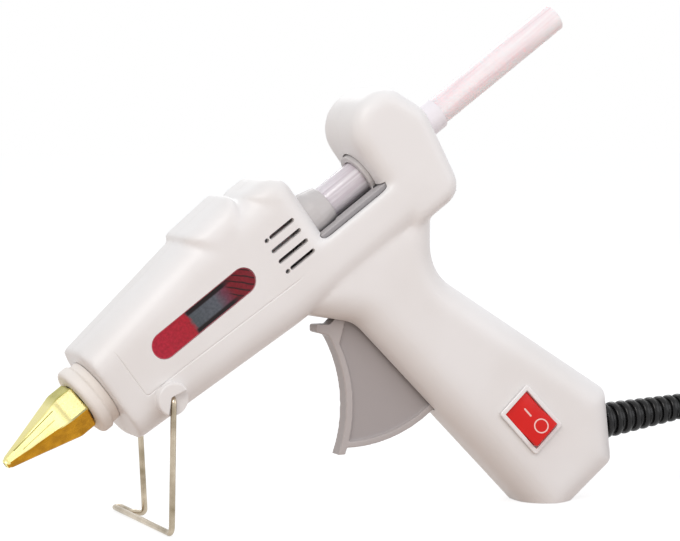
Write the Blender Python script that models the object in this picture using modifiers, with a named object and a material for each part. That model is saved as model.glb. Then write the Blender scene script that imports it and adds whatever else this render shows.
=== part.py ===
"""Hot glue applicator standing on its wire stand.

Metres, +Z up. The nozzle points to -X and down, and the handle's butt stands on z = 0. y = 0 is the middle
plane, and the two casing halves meet just beyond it. The origin is the middle of the butt's flat bottom.
"""

import math

import bmesh
import bpy
from mathutils import Matrix, Vector

# Clearances
GAP = 0.0003
RUNNING_GAP = 0.0005
OVERRUN = 0.0020

# Barrel axis: its tilt, and the point where it meets the hood's front face
BARREL_TILT = math.radians(36.2)
HOOD_FACE_X = -0.0782
HOOD_FACE_Z = 0.1284

# Casing, lengths along the barrel axis
BARREL_LENGTH = 0.1005
NOTCH_LENGTH = 0.0290
HOOD_AT = BARREL_LENGTH + NOTCH_LENGTH
HOOD_LENGTH = 0.0318
SHOULDER_LEAD = 0.0465
SHOULDER_AT = BARREL_LENGTH - SHOULDER_LEAD
NOTCH_LEAD = 0.0080

# Casing, heights above and below the barrel axis
FRONT_TOP = 0.0173
FRONT_BOTTOM = 0.0222
BARREL_TOP = 0.0248
BARREL_BOTTOM = 0.0272
BOTTOM_BEND_LEAD = 0.0265
BOTTOM_BEND_AT = BARREL_LENGTH - BOTTOM_BEND_LEAD
NOTCH_DEPTH = 0.0065
HOOD_TOP = 0.0255
HOOD_NOSE_RADIUS = 0.0140
HOOD_SLOPE = 0.0078
HOOD_TAIL_HEIGHT = 0.0075
HOOD_HEEL = 0.0053
HOOD_HEEL_RADIUS = 0.0090
HOOD_TOP_RADIUS = 0.0100
HOOD_TAIL_RADIUS = 0.0085
HOOD_EDGE = 0.0065

# Casing, widths and edges
WALL = 0.0025
BARREL_HALF = 0.0170
BARREL_EDGE = 0.0110
BAND_EDGE = 0.0080
BAND_INSET = 0.0001
HANDLE_HALF = 0.0150
HANDLE_EDGE = 0.0120
CORNER_EXTRA = 0.0005
SEAM_OFFSET = 0.0005
SMALL_CORNER = 0.0030

# Raised bands round the top of the barrel
FRONT_BAND_LENGTH = 0.0240
BAND_SPACE = 0.0035
REAR_BAND_LENGTH = 0.0170
FRONT_BAND_STEP = 0.0020
FRONT_BAND_RISE = 0.0016
REAR_BAND_STEP = 0.0004
REAR_BAND_START = BARREL_LENGTH - REAR_BAND_LENGTH
FRONT_BAND_END = REAR_BAND_START - BAND_SPACE
FRONT_BAND_START = FRONT_BAND_END - FRONT_BAND_LENGTH
FRONT_BAND_LOW = BARREL_TOP + FRONT_BAND_STEP
FRONT_BAND_HIGH = FRONT_BAND_LOW + FRONT_BAND_RISE
REAR_BAND_TOP = BARREL_TOP + REAR_BAND_STEP
BAND_FOOT = 0.0120
REAR_BAND_FOOT = 0.0200

# Pistol handle, corners in the side plane (x, z)
BUTT_HALF = 0.0115
BUTT_REAR_LOW = (0.0284, 0.0140)
BUTT_REAR_HIGH = (0.0252, 0.0432)
HANDLE_BACK = (-0.0515, 0.0918)
HANDLE_BACK_TOP = (-0.0515, 0.1240)
HANDLE_ROOT_TOP = (-0.1000, 0.1000)
HANDLE_ROOT_FRONT = (-0.1060, 0.0770)
HANDLE_CHIN = (-0.0828, 0.0730)
HANDLE_BACK_RADIUS = 0.0180

# Window, vents and screws in the casing
WINDOW_START = 0.0260
WINDOW_LEAD = 0.0369
WINDOW_END = BARREL_LENGTH - WINDOW_LEAD
WINDOW_HEIGHT = 0.0018
WINDOW_RADIUS = 0.00475
WINDOW_RECESS = 0.0004
WINDOW_FLANGE = 0.0015
WINDOW_FLANGE_THICK = 0.0012
WINDOW_STEPS = 8
VENT_STEPS = 3
VENT_LEAD = 0.0085
VENT_LENGTH = 0.0125
VENT_END = BARREL_LENGTH - VENT_LEAD
VENT_START = VENT_END - VENT_LENGTH
VENT_TOP = 0.0080
VENT_PITCH = 0.0047
VENT_RADIUS = 0.00072
VENT_DOT = 0.0022
VENT_COUNT = 4
POST_RADIUS = 0.0040
SCREW_HEAD_RADIUS = 0.0026
SCREW_HEAD_THICK = 0.0018
SCREW_RADIUS = 0.0012
SCREW_SEAT = 0.0100
SCREW_REACH = 0.0075
RIB_THICK = 0.0018
RIB_DROP = 0.0120
SLOT_DEEP = 0.0085

# Screw places in the barrel's frame (along, up) and in the handle (x, z)
BEND_SCREW_LEAD = 0.0040
BEND_SCREW_UP = 0.0060
HOOD_SCREW_BACK = 0.0215
HOOD_SCREW_DOWN = 0.0085
HEEL_SCREW_BACK = 0.0195
HEEL_SCREW_UP = 0.0082
BACK_SCREW_LEAD = 0.0085
BACK_SCREW_UP = 0.0012
BARREL_SCREWS = (
    (0.0215, 0.0138),
    (BOTTOM_BEND_AT - BEND_SCREW_LEAD, BEND_SCREW_UP - BARREL_BOTTOM),
    (HOOD_AT + HOOD_SCREW_BACK, HOOD_TOP - HOOD_SCREW_DOWN),
    (HOOD_AT + HEEL_SCREW_BACK, HEEL_SCREW_UP - BARREL_BOTTOM),
)
HANDLE_SCREWS = (
    (-0.0040, 0.0100),
    (0.0040, 0.0470),
    (HANDLE_BACK[0] - BACK_SCREW_LEAD, HANDLE_BACK[1] + BACK_SCREW_UP),
)

# Collar, melt chamber and nozzle
COLLAR_RADIUS = 0.0136
COLLAR_LIP = 0.0045
COLLAR_GROOVE = 0.0040
COLLAR_NECK = 0.0113
COLLAR_BACK = 0.0052
COLLAR_FLANGE = 0.0130
SMALL_ROUND = 0.0008
COLLAR_BORE = 0.0080
STICK_RADIUS = 0.0055
CHAMBER_THICK = 0.0035
CHAMBER_LEAD = 0.0385
CHAMBER_RADIUS = STICK_RADIUS + CHAMBER_THICK
CHAMBER_LENGTH = BARREL_LENGTH - CHAMBER_LEAD
CHAMBER_SHOULDER = 0.0076
CHAMBER_SPOUT = 0.0100
CHAMBER_NECK = 0.0074
PAD_WALL = 0.0016
PAD_BOTTOM = 0.0142
SPOUT_BORE = 0.0016
NOZZLE_BACK = -0.0083
THREAD_END = -0.0003
NOZZLE_HEX = 0.0098
NOZZLE_HEX_LENGTH = 0.0067
NOZZLE_CONE_LENGTH = 0.0280
NOZZLE_TIP_RADIUS = 0.0022
NOZZLE_BORE = 0.0010
NOZZLE_THREAD_RADIUS = 0.0049
NOZZLE_TURN = math.radians(32.4)

# Heater pack under the chamber
HEATER_START = 0.0100
HEATER_SHORT = 0.0160
HEATER_LENGTH = CHAMBER_LENGTH - HEATER_START - HEATER_SHORT
HEATER_END = HEATER_START + HEATER_LENGTH
HEATER_HALF = 0.0065
HEATER_THICK = 0.0030
HEATER_TOP = 0.0098

# Glue stick, its sleeve, seal and inlet
STICK_REACH = 0.1710
STICK_OVERLAP = 0.0010
STICK_START = CHAMBER_LENGTH - STICK_OVERLAP
SLEEVE_THICK = 0.0011
SLEEVE_RADIUS = STICK_RADIUS + SLEEVE_THICK
SLEEVE_BACK = 0.0040
SLEEVE_START = BARREL_LENGTH + SLEEVE_BACK
SLEEVE_LENGTH = 0.0370
SEAL_STEP = 0.0015
SEAL_THICK = 0.0011
SEAL_BORE = CHAMBER_RADIUS - SEAL_STEP
SEAL_RADIUS = SEAL_BORE + SEAL_THICK
SEAL_OVERLAP = 0.0080
SEAL_AT = CHAMBER_LENGTH - SEAL_OVERLAP
SEAL_LENGTH = 0.0190
RIB_AT = SEAL_AT + SEAL_LENGTH + 2 * GAP
CLAMP_WIRE = 0.0005
INLET_RADIUS = 0.0064
INLET_FLANGE = 0.0084
INLET_BACK = 0.0258
INLET_LENGTH = 0.0137
INLET_AT = HOOD_AT + INLET_BACK
INLET_END = INLET_AT + INLET_LENGTH

# Carriage in the notch
CARRIAGE_INSIDE = 0.0085
CARRIAGE_TAIL = 0.0115
CARRIAGE_RING = 0.0027
CARRIAGE_RIM = 0.0012
CARRIAGE_SHOW = 0.0045
CARRIAGE_NOSE_LENGTH = 0.0060
CARRIAGE_ARCH_SHOW = 0.0017
TROUGH_BACK = 0.0081
CARRIAGE_START = BARREL_LENGTH - CARRIAGE_INSIDE
CARRIAGE_END = HOOD_AT + CARRIAGE_TAIL
CARRIAGE_RADIUS = SLEEVE_RADIUS + CARRIAGE_RING
CARRIAGE_NOSE = SLEEVE_RADIUS + CARRIAGE_RIM
CARRIAGE_NOSE_START = BARREL_LENGTH + CARRIAGE_SHOW
CARRIAGE_NOSE_END = CARRIAGE_NOSE_START + CARRIAGE_NOSE_LENGTH
CARRIAGE_ARCH_START = HOOD_AT - CARRIAGE_ARCH_SHOW
TROUGH_START = BARREL_LENGTH + TROUGH_BACK
TROUGH_HALF = 0.0102
TROUGH_TOP = 0.0045
TROUGH_BOTTOM = 0.0135
TROUGH_WALL = 0.0020
LUG_HALF_INNER = 0.0026
LUG_THICK = 0.0022
LUG_LENGTH = 0.0085
LUG_DROP = 0.0080
DRIVE_PIN_RADIUS = 0.0014
DRIVE_PIN_HEIGHT = 0.0165
DRIVE_LEAD = 0.0040

# Grip jaw on the carriage
JAW_PIN_BACK = 0.0095
JAW_PIN_AT = CARRIAGE_START + JAW_PIN_BACK
JAW_PIN_HEIGHT = 0.0112
JAW_PIN_RADIUS = 0.0010
JAW_HALF = 0.0015
JAW_HUB = 0.0021
JAW_TOOTH = 0.0032
JAW_TOP = -0.0062

# Trigger
PIVOT_X = -0.0840
PIVOT_Z = 0.0800
TRIGGER_PIN_RADIUS = 0.0020
TRIGGER_PIN_SHORT = 0.0045
TRIGGER_PIN_HALF = BARREL_HALF - TRIGGER_PIN_SHORT
PIN_BOSS_RADIUS = 0.0042
TRIGGER_HALF = 0.00325
TRIGGER_WEB_HALF = 0.0019
TRIGGER_HUB = 0.0044
TRIGGER_TOP = (-0.0930, 0.0690)
TRIGGER_TOE = (-0.0884, 0.0228)
TRIGGER_SAG = 0.0053
TRIGGER_STRIP = 0.0027
TRIGGER_LIP = 0.0048
TRIGGER_LIP_TOP = 0.0035
TRIGGER_LIP_LOW = 0.0006
TRIGGER_LIP_ROUND = 0.0009
TRIGGER_RIM_RADIUS = 0.0548
TRIGGER_RIM_THICK = 0.0023
TRIGGER_RIM_START = math.radians(-93.0)
TRIGGER_RIM_END = math.radians(-40.0)
TRIGGER_RIM_SHORT = math.radians(1.0)
TRIGGER_SLOT_HALF = 0.0040
FORK_HALF = 0.0036
FORK_TIP = 0.0021
FORK_PLAY = 0.0004

# Return spring between the carriage's lug and a rib of the casing
SPRING_RADIUS = 0.0024
SPRING_WIRE = 0.0004
SPRING_LENGTH = 0.0134
SPRING_CURLS = 7
SPRING_POINTS = 9
SPRING_LEAD = 0.0080
SPRING_FRONT = CARRIAGE_START - SPRING_LEAD
SPRING_SIDE = 0.0076
SPRING_HEIGHT = 0.0169

# Wire stand and its bosses
STAND_AT = 0.0165
STAND_DROP = 0.0152
STAND_BOSS_RADIUS = 0.0062
STAND_BOSS_OUT = 0.0036
STAND_BOSS_FLOOR = 0.0008
STAND_WIRE = 0.0011
STAND_BEND = 0.0016
STAND_PIN_DEPTH = 0.0045
STAND_LEG_OUT = 0.0024
STAND_NEAR_FOOT_OUT = 0.0052
STAND_FAR_FOOT_OUT = 0.0070
STAND_END_OUT = 0.0250
STAND_PIN_INNER = BARREL_HALF - STAND_PIN_DEPTH
STAND_LEG_Y = BARREL_HALF + STAND_LEG_OUT
STAND_NEAR_FOOT_Y = BARREL_HALF + STAND_NEAR_FOOT_OUT
STAND_FAR_FOOT_Y = BARREL_HALF + STAND_FAR_FOOT_OUT
STAND_END_Y = BARREL_HALF + STAND_END_OUT
STAND_FOOT_AHEAD = 0.0020
STAND_RETURN_STEP = 0.0060
STAND_FOLD = math.radians(106.0)
STAND_LEAN = math.radians(8.0)

# Switch in the near side of the handle
SWITCH_X = -0.0128
SWITCH_Z = 0.0337
SWITCH_TILT = math.radians(-46.5)
BEZEL_LENGTH = 0.0229
BEZEL_WIDTH = 0.0163
BEZEL_PROUD = 0.0013
BEZEL_CORNER = 0.0012
SWITCH_LENGTH = 0.0210
SWITCH_WIDTH = 0.0145
SWITCH_DEPTH = 0.0110
ROCKER_LENGTH = 0.0182
ROCKER_WIDTH = 0.0123
ROCKER_SWING = math.radians(20.0)
ROCKER_LEVEL = 0.0004
ROCKER_HINGE = 0.0015
ROCKER_TAPER = 0.0005
ROCKER_DEPTH = 0.0056
POCKET_PLAY = 0.0007
ROCKER_POCKET = 0.0072
TERMINAL_WIDTH = 0.0048
TERMINAL_THICK = 0.0008
TERMINAL_LENGTH = 0.0062
TERMINAL_ROOT = 0.0020
TERMINAL_STEP = 0.0068

# Strain relief and cord
RELIEF_X = 0.0268
RELIEF_Z = 0.0290
RELIEF_TILT = math.radians(6.3)
RELIEF_LENGTH = 0.0442
RELIEF_ROOT = 0.0072
RELIEF_TIP = 0.0050
RELIEF_NECK = 0.0058
RELIEF_FLANGE = 0.0080
RELIEF_FLANGE_THICK = 0.0025
RIB_COUNT = 10
RIB_DEPTH = 0.0009
RIB_SHARE = 0.62
RELIEF_SIDES = 14
CORD_RADIUS = 0.0030
CORD_INSIDE = 0.0135
LEAD_RADIUS = 0.0009
LEAD_SPACING = 0.0055

# Cord route, chosen by hand, from the strain relief's mouth down to the coil on the surface
CORD_ROUTE = (
    (0.0790, 0.0015, 0.0335),
    (0.0850, 0.0090, 0.0290),
    (0.0875, 0.0185, 0.0225),
    (0.0890, 0.0270, 0.0155),
    (0.0935, 0.0350, 0.0090),
    (0.1020, 0.0395, 0.0048),
    (0.1140, 0.0402, 0.0033),
)
TAIL_ROUTE = ((0.1718, 0.0036, 0.0172), (0.1641, -0.0096, 0.0186))

# Coil of the cord's spare length, and the plug at its end
COIL_X = 0.1320
COIL_Y = -0.0028
COIL_OUTER = 0.0428
COIL_TUCK = 0.0010
COIL_PITCH = 0.0065
COIL_LIFT = 0.0001
COIL_TURNS_A_LAYER = 2.58333
COIL_POINTS_A_TURN = 24
COIL_START = math.pi / 2
PLUG_X = 0.1460
PLUG_Y = -0.0148
PLUG_LENGTH = 0.0320
PLUG_WIDTH = 0.0353
PLUG_NECK = 0.0130
PLUG_THICK = 0.0137
PLUG_MIDDLE = CORD_RADIUS * 2 + COIL_PITCH + COIL_LIFT + GAP + PLUG_THICK / 2
PLUG_SHOULDER = 0.0140
PLUG_EDGE = 0.0025
PLUG_PIN_RADIUS = 0.0020
PLUG_PIN_LENGTH = 0.0190
PLUG_PIN_STEP = 0.0186
PLUG_PIN_ROOT = 0.0040

# Lanes of the inner leads beside the handle's wall and the barrel's
HANDLE_WIDE_LANE = 0.0046
HANDLE_MID_LANE = 0.0072
BARREL_WIDE_LANE = 0.0066
BARREL_MID_LANE = 0.0092
HANDLE_WIDE_Y = HANDLE_HALF - HANDLE_WIDE_LANE
HANDLE_MID_Y = HANDLE_HALF - HANDLE_MID_LANE
BARREL_WIDE_Y = BARREL_HALF - BARREL_WIDE_LANE
BARREL_MID_Y = BARREL_HALF - BARREL_MID_LANE

# Routes of the inner leads, chosen by hand: the frame and the place of each stop, the heater's from its end
LEAD_ROUTES = {
    "lead_cord_to_heater": (
        ("standing", 0.0125, 0.0012, 0.0274),
        ("standing", 0.0060, 0.0060, 0.0290),
        ("standing", -0.0080, HANDLE_MID_Y, 0.0390),
        ("standing", -0.0300, HANDLE_MID_Y, 0.0560),
        ("standing", -0.0560, HANDLE_MID_Y, 0.0740),
        ("standing", -0.0830, HANDLE_MID_Y, 0.0895),
        ("heater", 0.0400, BARREL_MID_Y, -0.0205),
        ("heater", 0.0260, BARREL_MID_Y, -0.0152),
        ("heater", 0.0130, 0.0045, -0.0145),
        ("heater", 0.0060, 0.0015, -0.0125),
        ("heater", 0.0005, 0.0015, -0.0113),
    ),
    "lead_switch_to_heater": (
        ("standing", -0.0175, 0.0008, 0.0386),
        ("standing", -0.0175, 0.0060, 0.0388),
        ("standing", -0.0230, 0.0100, 0.0440),
        ("standing", -0.0350, HANDLE_WIDE_Y, 0.0560),
        ("standing", -0.0590, HANDLE_WIDE_Y, 0.0735),
        ("standing", -0.0840, HANDLE_WIDE_Y, 0.0890),
        ("heater", 0.0400, BARREL_WIDE_Y, -0.0205),
        ("heater", 0.0260, BARREL_WIDE_Y, -0.0152),
        ("heater", 0.0140, 0.0080, -0.0150),
        ("heater", 0.0060, 0.0048, -0.0125),
        ("heater", 0.0005, 0.0045, -0.0113),
    ),
    "lead_cord_to_switch": (
        ("standing", 0.0125, -0.0014, 0.0274),
        ("standing", 0.0070, -0.0010, 0.0268),
        ("standing", 0.0000, 0.0040, 0.0270),
        ("standing", -0.0070, 0.0040, 0.0282),
        ("standing", -0.0081, 0.0008, 0.0288),
    ),
}

# Derived places
FRONT_X = HOOD_FACE_X - HOOD_AT * math.cos(BARREL_TILT)
FRONT_Z = HOOD_FACE_Z - HOOD_AT * math.sin(BARREL_TILT)
PIVOT_ALONG = (PIVOT_X - FRONT_X) * math.cos(BARREL_TILT) + (PIVOT_Z - FRONT_Z) * math.sin(BARREL_TILT)
PIVOT_DROP = (PIVOT_X - FRONT_X) * math.sin(BARREL_TILT) - (PIVOT_Z - FRONT_Z) * math.cos(BARREL_TILT)
DRIVE_PIN_HEIGHT_ABOVE = PIVOT_DROP - DRIVE_PIN_HEIGHT


# Drawing steps
ARC_STEP = math.radians(18.0)
EDGE_STEPS = 3
SMALL_EDGE_STEPS = 1
ROUND_SIDES = 28
SMALL_SIDES = 12
SWEEP_STEPS = 8
FORM_STEPS = 1
TUBE_STEPS = 2
SHAFT_SIDES = 8
TRIGGER_STEPS = 10
NOZZLE_POINTS = 24
WIRE_STEP = math.radians(30.0)
WELD = 0.000001
RUNOUT = 0.0300
CUT_SPAN = 0.4000

# Finishes: sRGB colour, roughness, metallic
FINISHES = {
    "housing_plastic": ("EBE8E6", 0.42, 0.0),
    "collar_silicone": ("ECE7E0", 0.60, 0.0),
    "nozzle_brass": ("C9A24E", 0.28, 1.0),
    "chamber_aluminium": ("B4B6B8", 0.40, 1.0),
    "heater_ceramic": ("D8D4CC", 0.70, 0.0),
    "seal_silicone": ("C8574B", 0.60, 0.0),
    "spring_steel": ("B9BCC0", 0.30, 1.0),
    "window_red": ("B01C2E", 0.12, 0.0),
    "carriage_plastic": ("C6C2C1", 0.45, 0.0),
    "sleeve_clear": ("DDD5DA", 0.10, 0.0),
    "jaw_steel": ("9C9EA2", 0.38, 1.0),
    "pin_steel": ("A9ABB0", 0.30, 1.0),
    "trigger_plastic": ("A8A09E", 0.42, 0.0),
    "glue_stick": ("F7EDEF", 0.30, 0.0),
    "inlet_bush": ("DCD6D8", 0.40, 0.0),
    "switch_frame": ("E4E2E0", 0.35, 0.0),
    "switch_red": ("E5221B", 0.25, 0.0),
    "terminal_brass": ("C8B070", 0.35, 1.0),
    "screw_steel": ("8E9196", 0.35, 1.0),
    "stand_wire": ("B5A894", 0.22, 1.0),
    "relief_rubber": ("141414", 0.55, 0.0),
    "cord_rubber": ("17171A", 0.50, 0.0),
    "lead_insulation": ("D9D4C4", 0.50, 0.0),
    "plug_rubber": ("161618", 0.50, 0.0),
    "plug_pin_nickel": ("BFC1C4", 0.25, 1.0),
}


def clear_scene():
    for item in list(bpy.data.objects):
        bpy.data.objects.remove(item, do_unlink=True)


def new_collection(name):
    group = bpy.data.collections.new(name)
    bpy.context.scene.collection.children.link(group)
    return group


clear_scene()
PARTS = new_collection("hot_glue_applicator")
CUTTERS = new_collection("cutters")


def linear(shade):
    """A two-digit hex shade as a linear value."""
    value = int(shade, 16) / 255
    return value / 12.92 if value <= 0.04045 else ((value + 0.055) / 1.055) ** 2.4


def finish(name):
    """The named finish as a Principled material."""
    if name in bpy.data.materials:
        return bpy.data.materials[name]
    colour, roughness, metallic = FINISHES[name]
    material = bpy.data.materials.new(name)
    material.use_nodes = True
    shader = material.node_tree.nodes["Principled BSDF"]
    rgb = [linear(colour[start:start + 2]) for start in (0, 2, 4)]
    shader.inputs["Base Color"].default_value = (*rgb, 1)
    shader.inputs["Roughness"].default_value = roughness
    shader.inputs["Metallic"].default_value = metallic
    material.diffuse_color = (*rgb, 1)
    return material


# Frames: empties that hold the pieces' axes


def frame(name, place, tilt):
    """An empty at a place, with its X turned up from +X by tilt in the side plane."""
    empty = bpy.data.objects.new(name, None)
    PARTS.objects.link(empty)
    empty.location = place
    empty.rotation_euler = (0, -tilt, 0)
    return empty


STANDING = frame("standing_frame", (0, 0, 0), 0)
BARREL = frame("barrel_frame", (FRONT_X, 0, FRONT_Z), BARREL_TILT)
SWITCH = frame("switch_frame_axes", (SWITCH_X, -HANDLE_HALF, SWITCH_Z), SWITCH_TILT)
RELIEF = frame("relief_axes", (RELIEF_X, 0, RELIEF_Z), RELIEF_TILT)


def standing_xz(along, up):
    """A place in the barrel's frame as (x, z) of the standing object."""
    cosine, sine = math.cos(BARREL_TILT), math.sin(BARREL_TILT)
    return FRONT_X + along * cosine - up * sine, FRONT_Z + along * sine + up * cosine


# Objects and their meshes


def new_object(name, data, axes, group=None):
    piece = bpy.data.objects.new(name, data)
    (group or CUTTERS).objects.link(piece)
    piece.parent = axes
    piece.hide_render = True
    piece.display_type = "WIRE"
    return piece


def evaluated_mesh(piece):
    bpy.context.view_layer.update()
    graph = bpy.context.evaluated_depsgraph_get()
    return bpy.data.meshes.new_from_object(piece.evaluated_get(graph))


def outward(mesh):
    """Welds the loose caps of a mesh and turns its faces outward."""
    build = bmesh.new()
    build.from_mesh(mesh)
    bmesh.ops.remove_doubles(build, verts=build.verts, dist=WELD)
    bmesh.ops.recalc_face_normals(build, faces=build.faces)
    build.to_mesh(mesh)
    build.free()


def bake(piece):
    """Applies the modifiers of a mesh object."""
    mesh = evaluated_mesh(piece)
    piece.modifiers.clear()
    old = piece.data
    piece.data = mesh
    bpy.data.meshes.remove(old)
    return piece


def curve_to_mesh(piece):
    """Changes a curve object to a closed mesh object in the same place."""
    mesh = evaluated_mesh(piece)
    outward(mesh)
    name = piece.name
    solid = new_object("mesh_of_" + name, mesh, piece.parent)
    solid.location = piece.location
    solid.rotation_euler = piece.rotation_euler
    curve = piece.data
    bpy.data.objects.remove(piece, do_unlink=True)
    bpy.data.curves.remove(curve)
    solid.name = name
    return solid


def combine(piece, operation, others):
    """Joins, cuts or trims a mesh object with others, which are used up."""
    for other in others:
        step = piece.modifiers.new(other.name, "BOOLEAN")
        step.operation = operation
        step.solver = "EXACT"
        step.object = other
    bake(piece)
    for other in others:
        bpy.data.objects.remove(other, do_unlink=True)
    return piece


def join(piece, *others):
    return combine(piece, "UNION", others)


def cut(piece, *others):
    return combine(piece, "DIFFERENCE", others)


def trim(piece, *others):
    return combine(piece, "INTERSECT", others)


def part(piece, name, material, origin=None, smooth=30.0):
    """Turns a finished solid into a part of the object, with its origin on its joint if it has one."""
    bpy.context.view_layer.update()
    if origin is not None:
        centre = piece.matrix_world.inverted() @ Vector(origin)
        piece.data.transform(Matrix.Translation(-centre))
        turned_in = piece.matrix_basis.copy()
        piece.location = turned_in @ centre
    piece.name = name
    piece.data.name = name
    piece.data.materials.clear()
    piece.data.materials.append(finish(material))
    piece.data.shade_smooth()
    piece.data.set_sharp_from_angle(angle=math.radians(smooth))
    CUTTERS.objects.unlink(piece)
    PARTS.objects.link(piece)
    piece.hide_render = False
    piece.display_type = "TEXTURED"
    return piece


# Primitive solids


def block(name, axes, low, high):
    """A box between two opposite corners."""
    build = bmesh.new()
    bmesh.ops.create_cube(build, size=1)
    for vert in build.verts:
        vert.co = [a + (c + 0.5) * (b - a) for a, b, c in zip(low, high, vert.co)]
    mesh = bpy.data.meshes.new(name)
    build.to_mesh(mesh)
    build.free()
    return new_object(name, mesh, axes)


def rod(name, axes, start, end, radius, sides=SMALL_SIDES):
    """A cylinder between two points."""
    start, end = Vector(start), Vector(end)
    turn = (end - start).to_track_quat("Z", "Y").to_matrix().to_4x4()
    build = bmesh.new()
    bmesh.ops.create_cone(
        build,
        cap_ends=True,
        segments=sides,
        radius1=radius,
        radius2=radius,
        depth=(end - start).length,
        matrix=Matrix.Translation((start + end) / 2) @ turn,
    )
    mesh = bpy.data.meshes.new(name)
    build.to_mesh(mesh)
    build.free()
    return new_object(name, mesh, axes)


def turned(name, axes, profile, sides=ROUND_SIDES, hollow=False):
    """A turned solid on the frame's X axis, from (place, radius) pairs running back to front outside."""
    mesh = bpy.data.meshes.new(name)
    count = len(profile)
    edges = [(index, index + 1) for index in range(count - 1)]
    if hollow:
        edges.append((count - 1, 0))
    mesh.from_pydata([(radius, 0, place) for place, radius in profile], edges, [])
    piece = new_object(name, mesh, axes)
    piece.rotation_euler = (0, math.pi / 2, 0)
    screw = piece.modifiers.new("turn", "SCREW")
    screw.axis = "Z"
    screw.steps = sides
    screw.render_steps = sides
    screw.use_merge_vertices = True
    screw.merge_threshold = WELD
    bake(piece)
    outward(piece.data)
    return piece


def pipe(name, axes, start, end, outer, inner, sides=ROUND_SIDES):
    """A straight tube on the frame's X axis."""
    profile = ((end, outer), (start, outer), (start, inner), (end, inner))
    return turned(name, axes, profile, sides, hollow=True)


# Outlines in the side plane


def area(corners):
    ring = list(corners) + [corners[0]]
    return sum(a[0] * b[1] - b[0] * a[1] for a, b in zip(ring, ring[1:])) / 2


def outline(corners, inset=0.0):
    """Points of a closed outline with rounded corners (x, z, radius), moved in by inset."""
    if area(corners) < 0:
        corners = corners[::-1]
    count = len(corners)
    spots = [Vector(corner[:2]) for corner in corners]
    ways = [(spots[(i + 1) % count] - spots[i]).normalized() for i in range(count)]
    points = []
    for index, spot in enumerate(spots):
        before, after = ways[index - 1], ways[index]
        turn = math.atan2(before.x * after.y - before.y * after.x, before.dot(after))
        inward = Vector((-before.y, before.x)) + Vector((-after.y, after.x))
        middle = spot + inward * inset / (1 + before.dot(after))
        given = corners[index][2]
        radius = max(given - inset, 0.0) if turn > 0 else given + inset if given else 0.0
        if radius < WELD or abs(turn) < ARC_STEP / 4:
            points.append(middle)
            continue
        reach = radius * math.tan(abs(turn) / 2)
        side = math.copysign(1.0, turn)
        centre = middle - before * reach + Vector((-before.y, before.x)) * radius * side
        spoke = Vector((before.y, -before.x)) * radius * side
        steps = max(1, round(abs(turn) / ARC_STEP))
        for step in range(steps + 1):
            points.append(centre + Matrix.Rotation(turn * step / steps, 2) @ spoke)
    return points


def slab(name, axes, points, low, high, edge=0.0, steps=SMALL_EDGE_STEPS):
    """A flat solid with the given outline (x, z) between two y values, its rounding outside the outline."""
    curve = bpy.data.curves.new(name, "CURVE")
    curve.dimensions = "2D"
    curve.fill_mode = "BOTH"
    curve.extrude = (high - low) / 2 - edge
    curve.bevel_depth = edge
    curve.bevel_resolution = steps
    spline = curve.splines.new("POLY")
    spline.points.add(len(points) - 1)
    for place, point in zip(spline.points, points):
        place.co = (point[0], point[1], 0, 1)
    spline.use_cyclic_u = True
    piece = new_object(name, curve, axes)
    piece.location = (0, (low + high) / 2, 0)
    piece.rotation_euler = (math.pi / 2, 0, 0)
    return curve_to_mesh(piece)


def plate(name, axes, corners, low, high, edge=0.0, steps=SMALL_EDGE_STEPS):
    """A flat solid whose rounded edges stay within the outline of its corners."""
    return slab(name, axes, outline(corners, edge), low, high, edge, steps)


def shell_form(name, axes, corners, half_width, edge, wall):
    """A casing form, or the hollow of a casing form where wall is the wall's thickness."""
    half = half_width - wall
    return slab(name, axes, outline(corners, edge), -half, half, edge - wall, EDGE_STEPS)


def tube(name, axes, points, radius, roundness):
    """A solid tube or wire along points."""
    curve = bpy.data.curves.new(name, "CURVE")
    curve.dimensions = "3D"
    curve.bevel_depth = radius
    curve.bevel_resolution = roundness
    curve.use_fill_caps = True
    spline = curve.splines.new("POLY")
    spline.points.add(len(points) - 1)
    for place, point in zip(spline.points, points):
        place.co = (*point, 1)
    return curve_to_mesh(new_object(name, curve, axes))


def bent(corners, radius):
    """A wire's path with each inner corner rounded."""
    spots = [Vector(corner) for corner in corners]
    path = [spots[0]]
    for before, spot, after in zip(spots, spots[1:], spots[2:]):
        into, out = (spot - before).normalized(), (after - spot).normalized()
        turn = into.angle(out)
        reach = radius * math.tan(turn / 2)
        axis = into.cross(out).normalized()
        centre = spot - into * reach + axis.cross(into) * radius
        spoke = spot - into * reach - centre
        steps = max(2, round(turn / WIRE_STEP))
        for step in range(steps + 1):
            path.append(centre + Matrix.Rotation(turn * step / steps, 3, axis) @ spoke)
    return path + [spots[-1]]


def smooth_path(route, spacing):
    """Points at even steps along a smooth curve through the route."""
    spots = [Vector(point) for point in route]
    ends = [2 * spots[0] - spots[1]] + spots + [2 * spots[-1] - spots[-2]]
    path = [spots[0]]
    for a, b, c, d in zip(ends, ends[1:], ends[2:], ends[3:]):
        steps = max(1, round((c - b).length / spacing))
        for step in range(1, steps + 1):
            t = step / steps
            bend = (2 * a - 5 * b + 4 * c - d) * t**2 + (3 * b - a - 3 * c + d) * t**3
            path.append((2 * b + (c - a) * t + bend) / 2)
    return path


# Casing


def line_at(start, end, place):
    """The height at a place on the line through two (place, height) points."""
    return start[1] + (place - start[0]) * (end[1] - start[1]) / (end[0] - start[0])


def crossing(first, second, third, fourth):
    """Where the line through the first two points meets the line through the last two."""
    (a, b), (c, d) = (Vector(first), Vector(second)), (Vector(third), Vector(fourth))
    way, other = b - a, d - c
    share = ((c.x - a.x) * other.y - (c.y - a.y) * other.x) / (way.x * other.y - way.y * other.x)
    return tuple(a + way * share)


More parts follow.
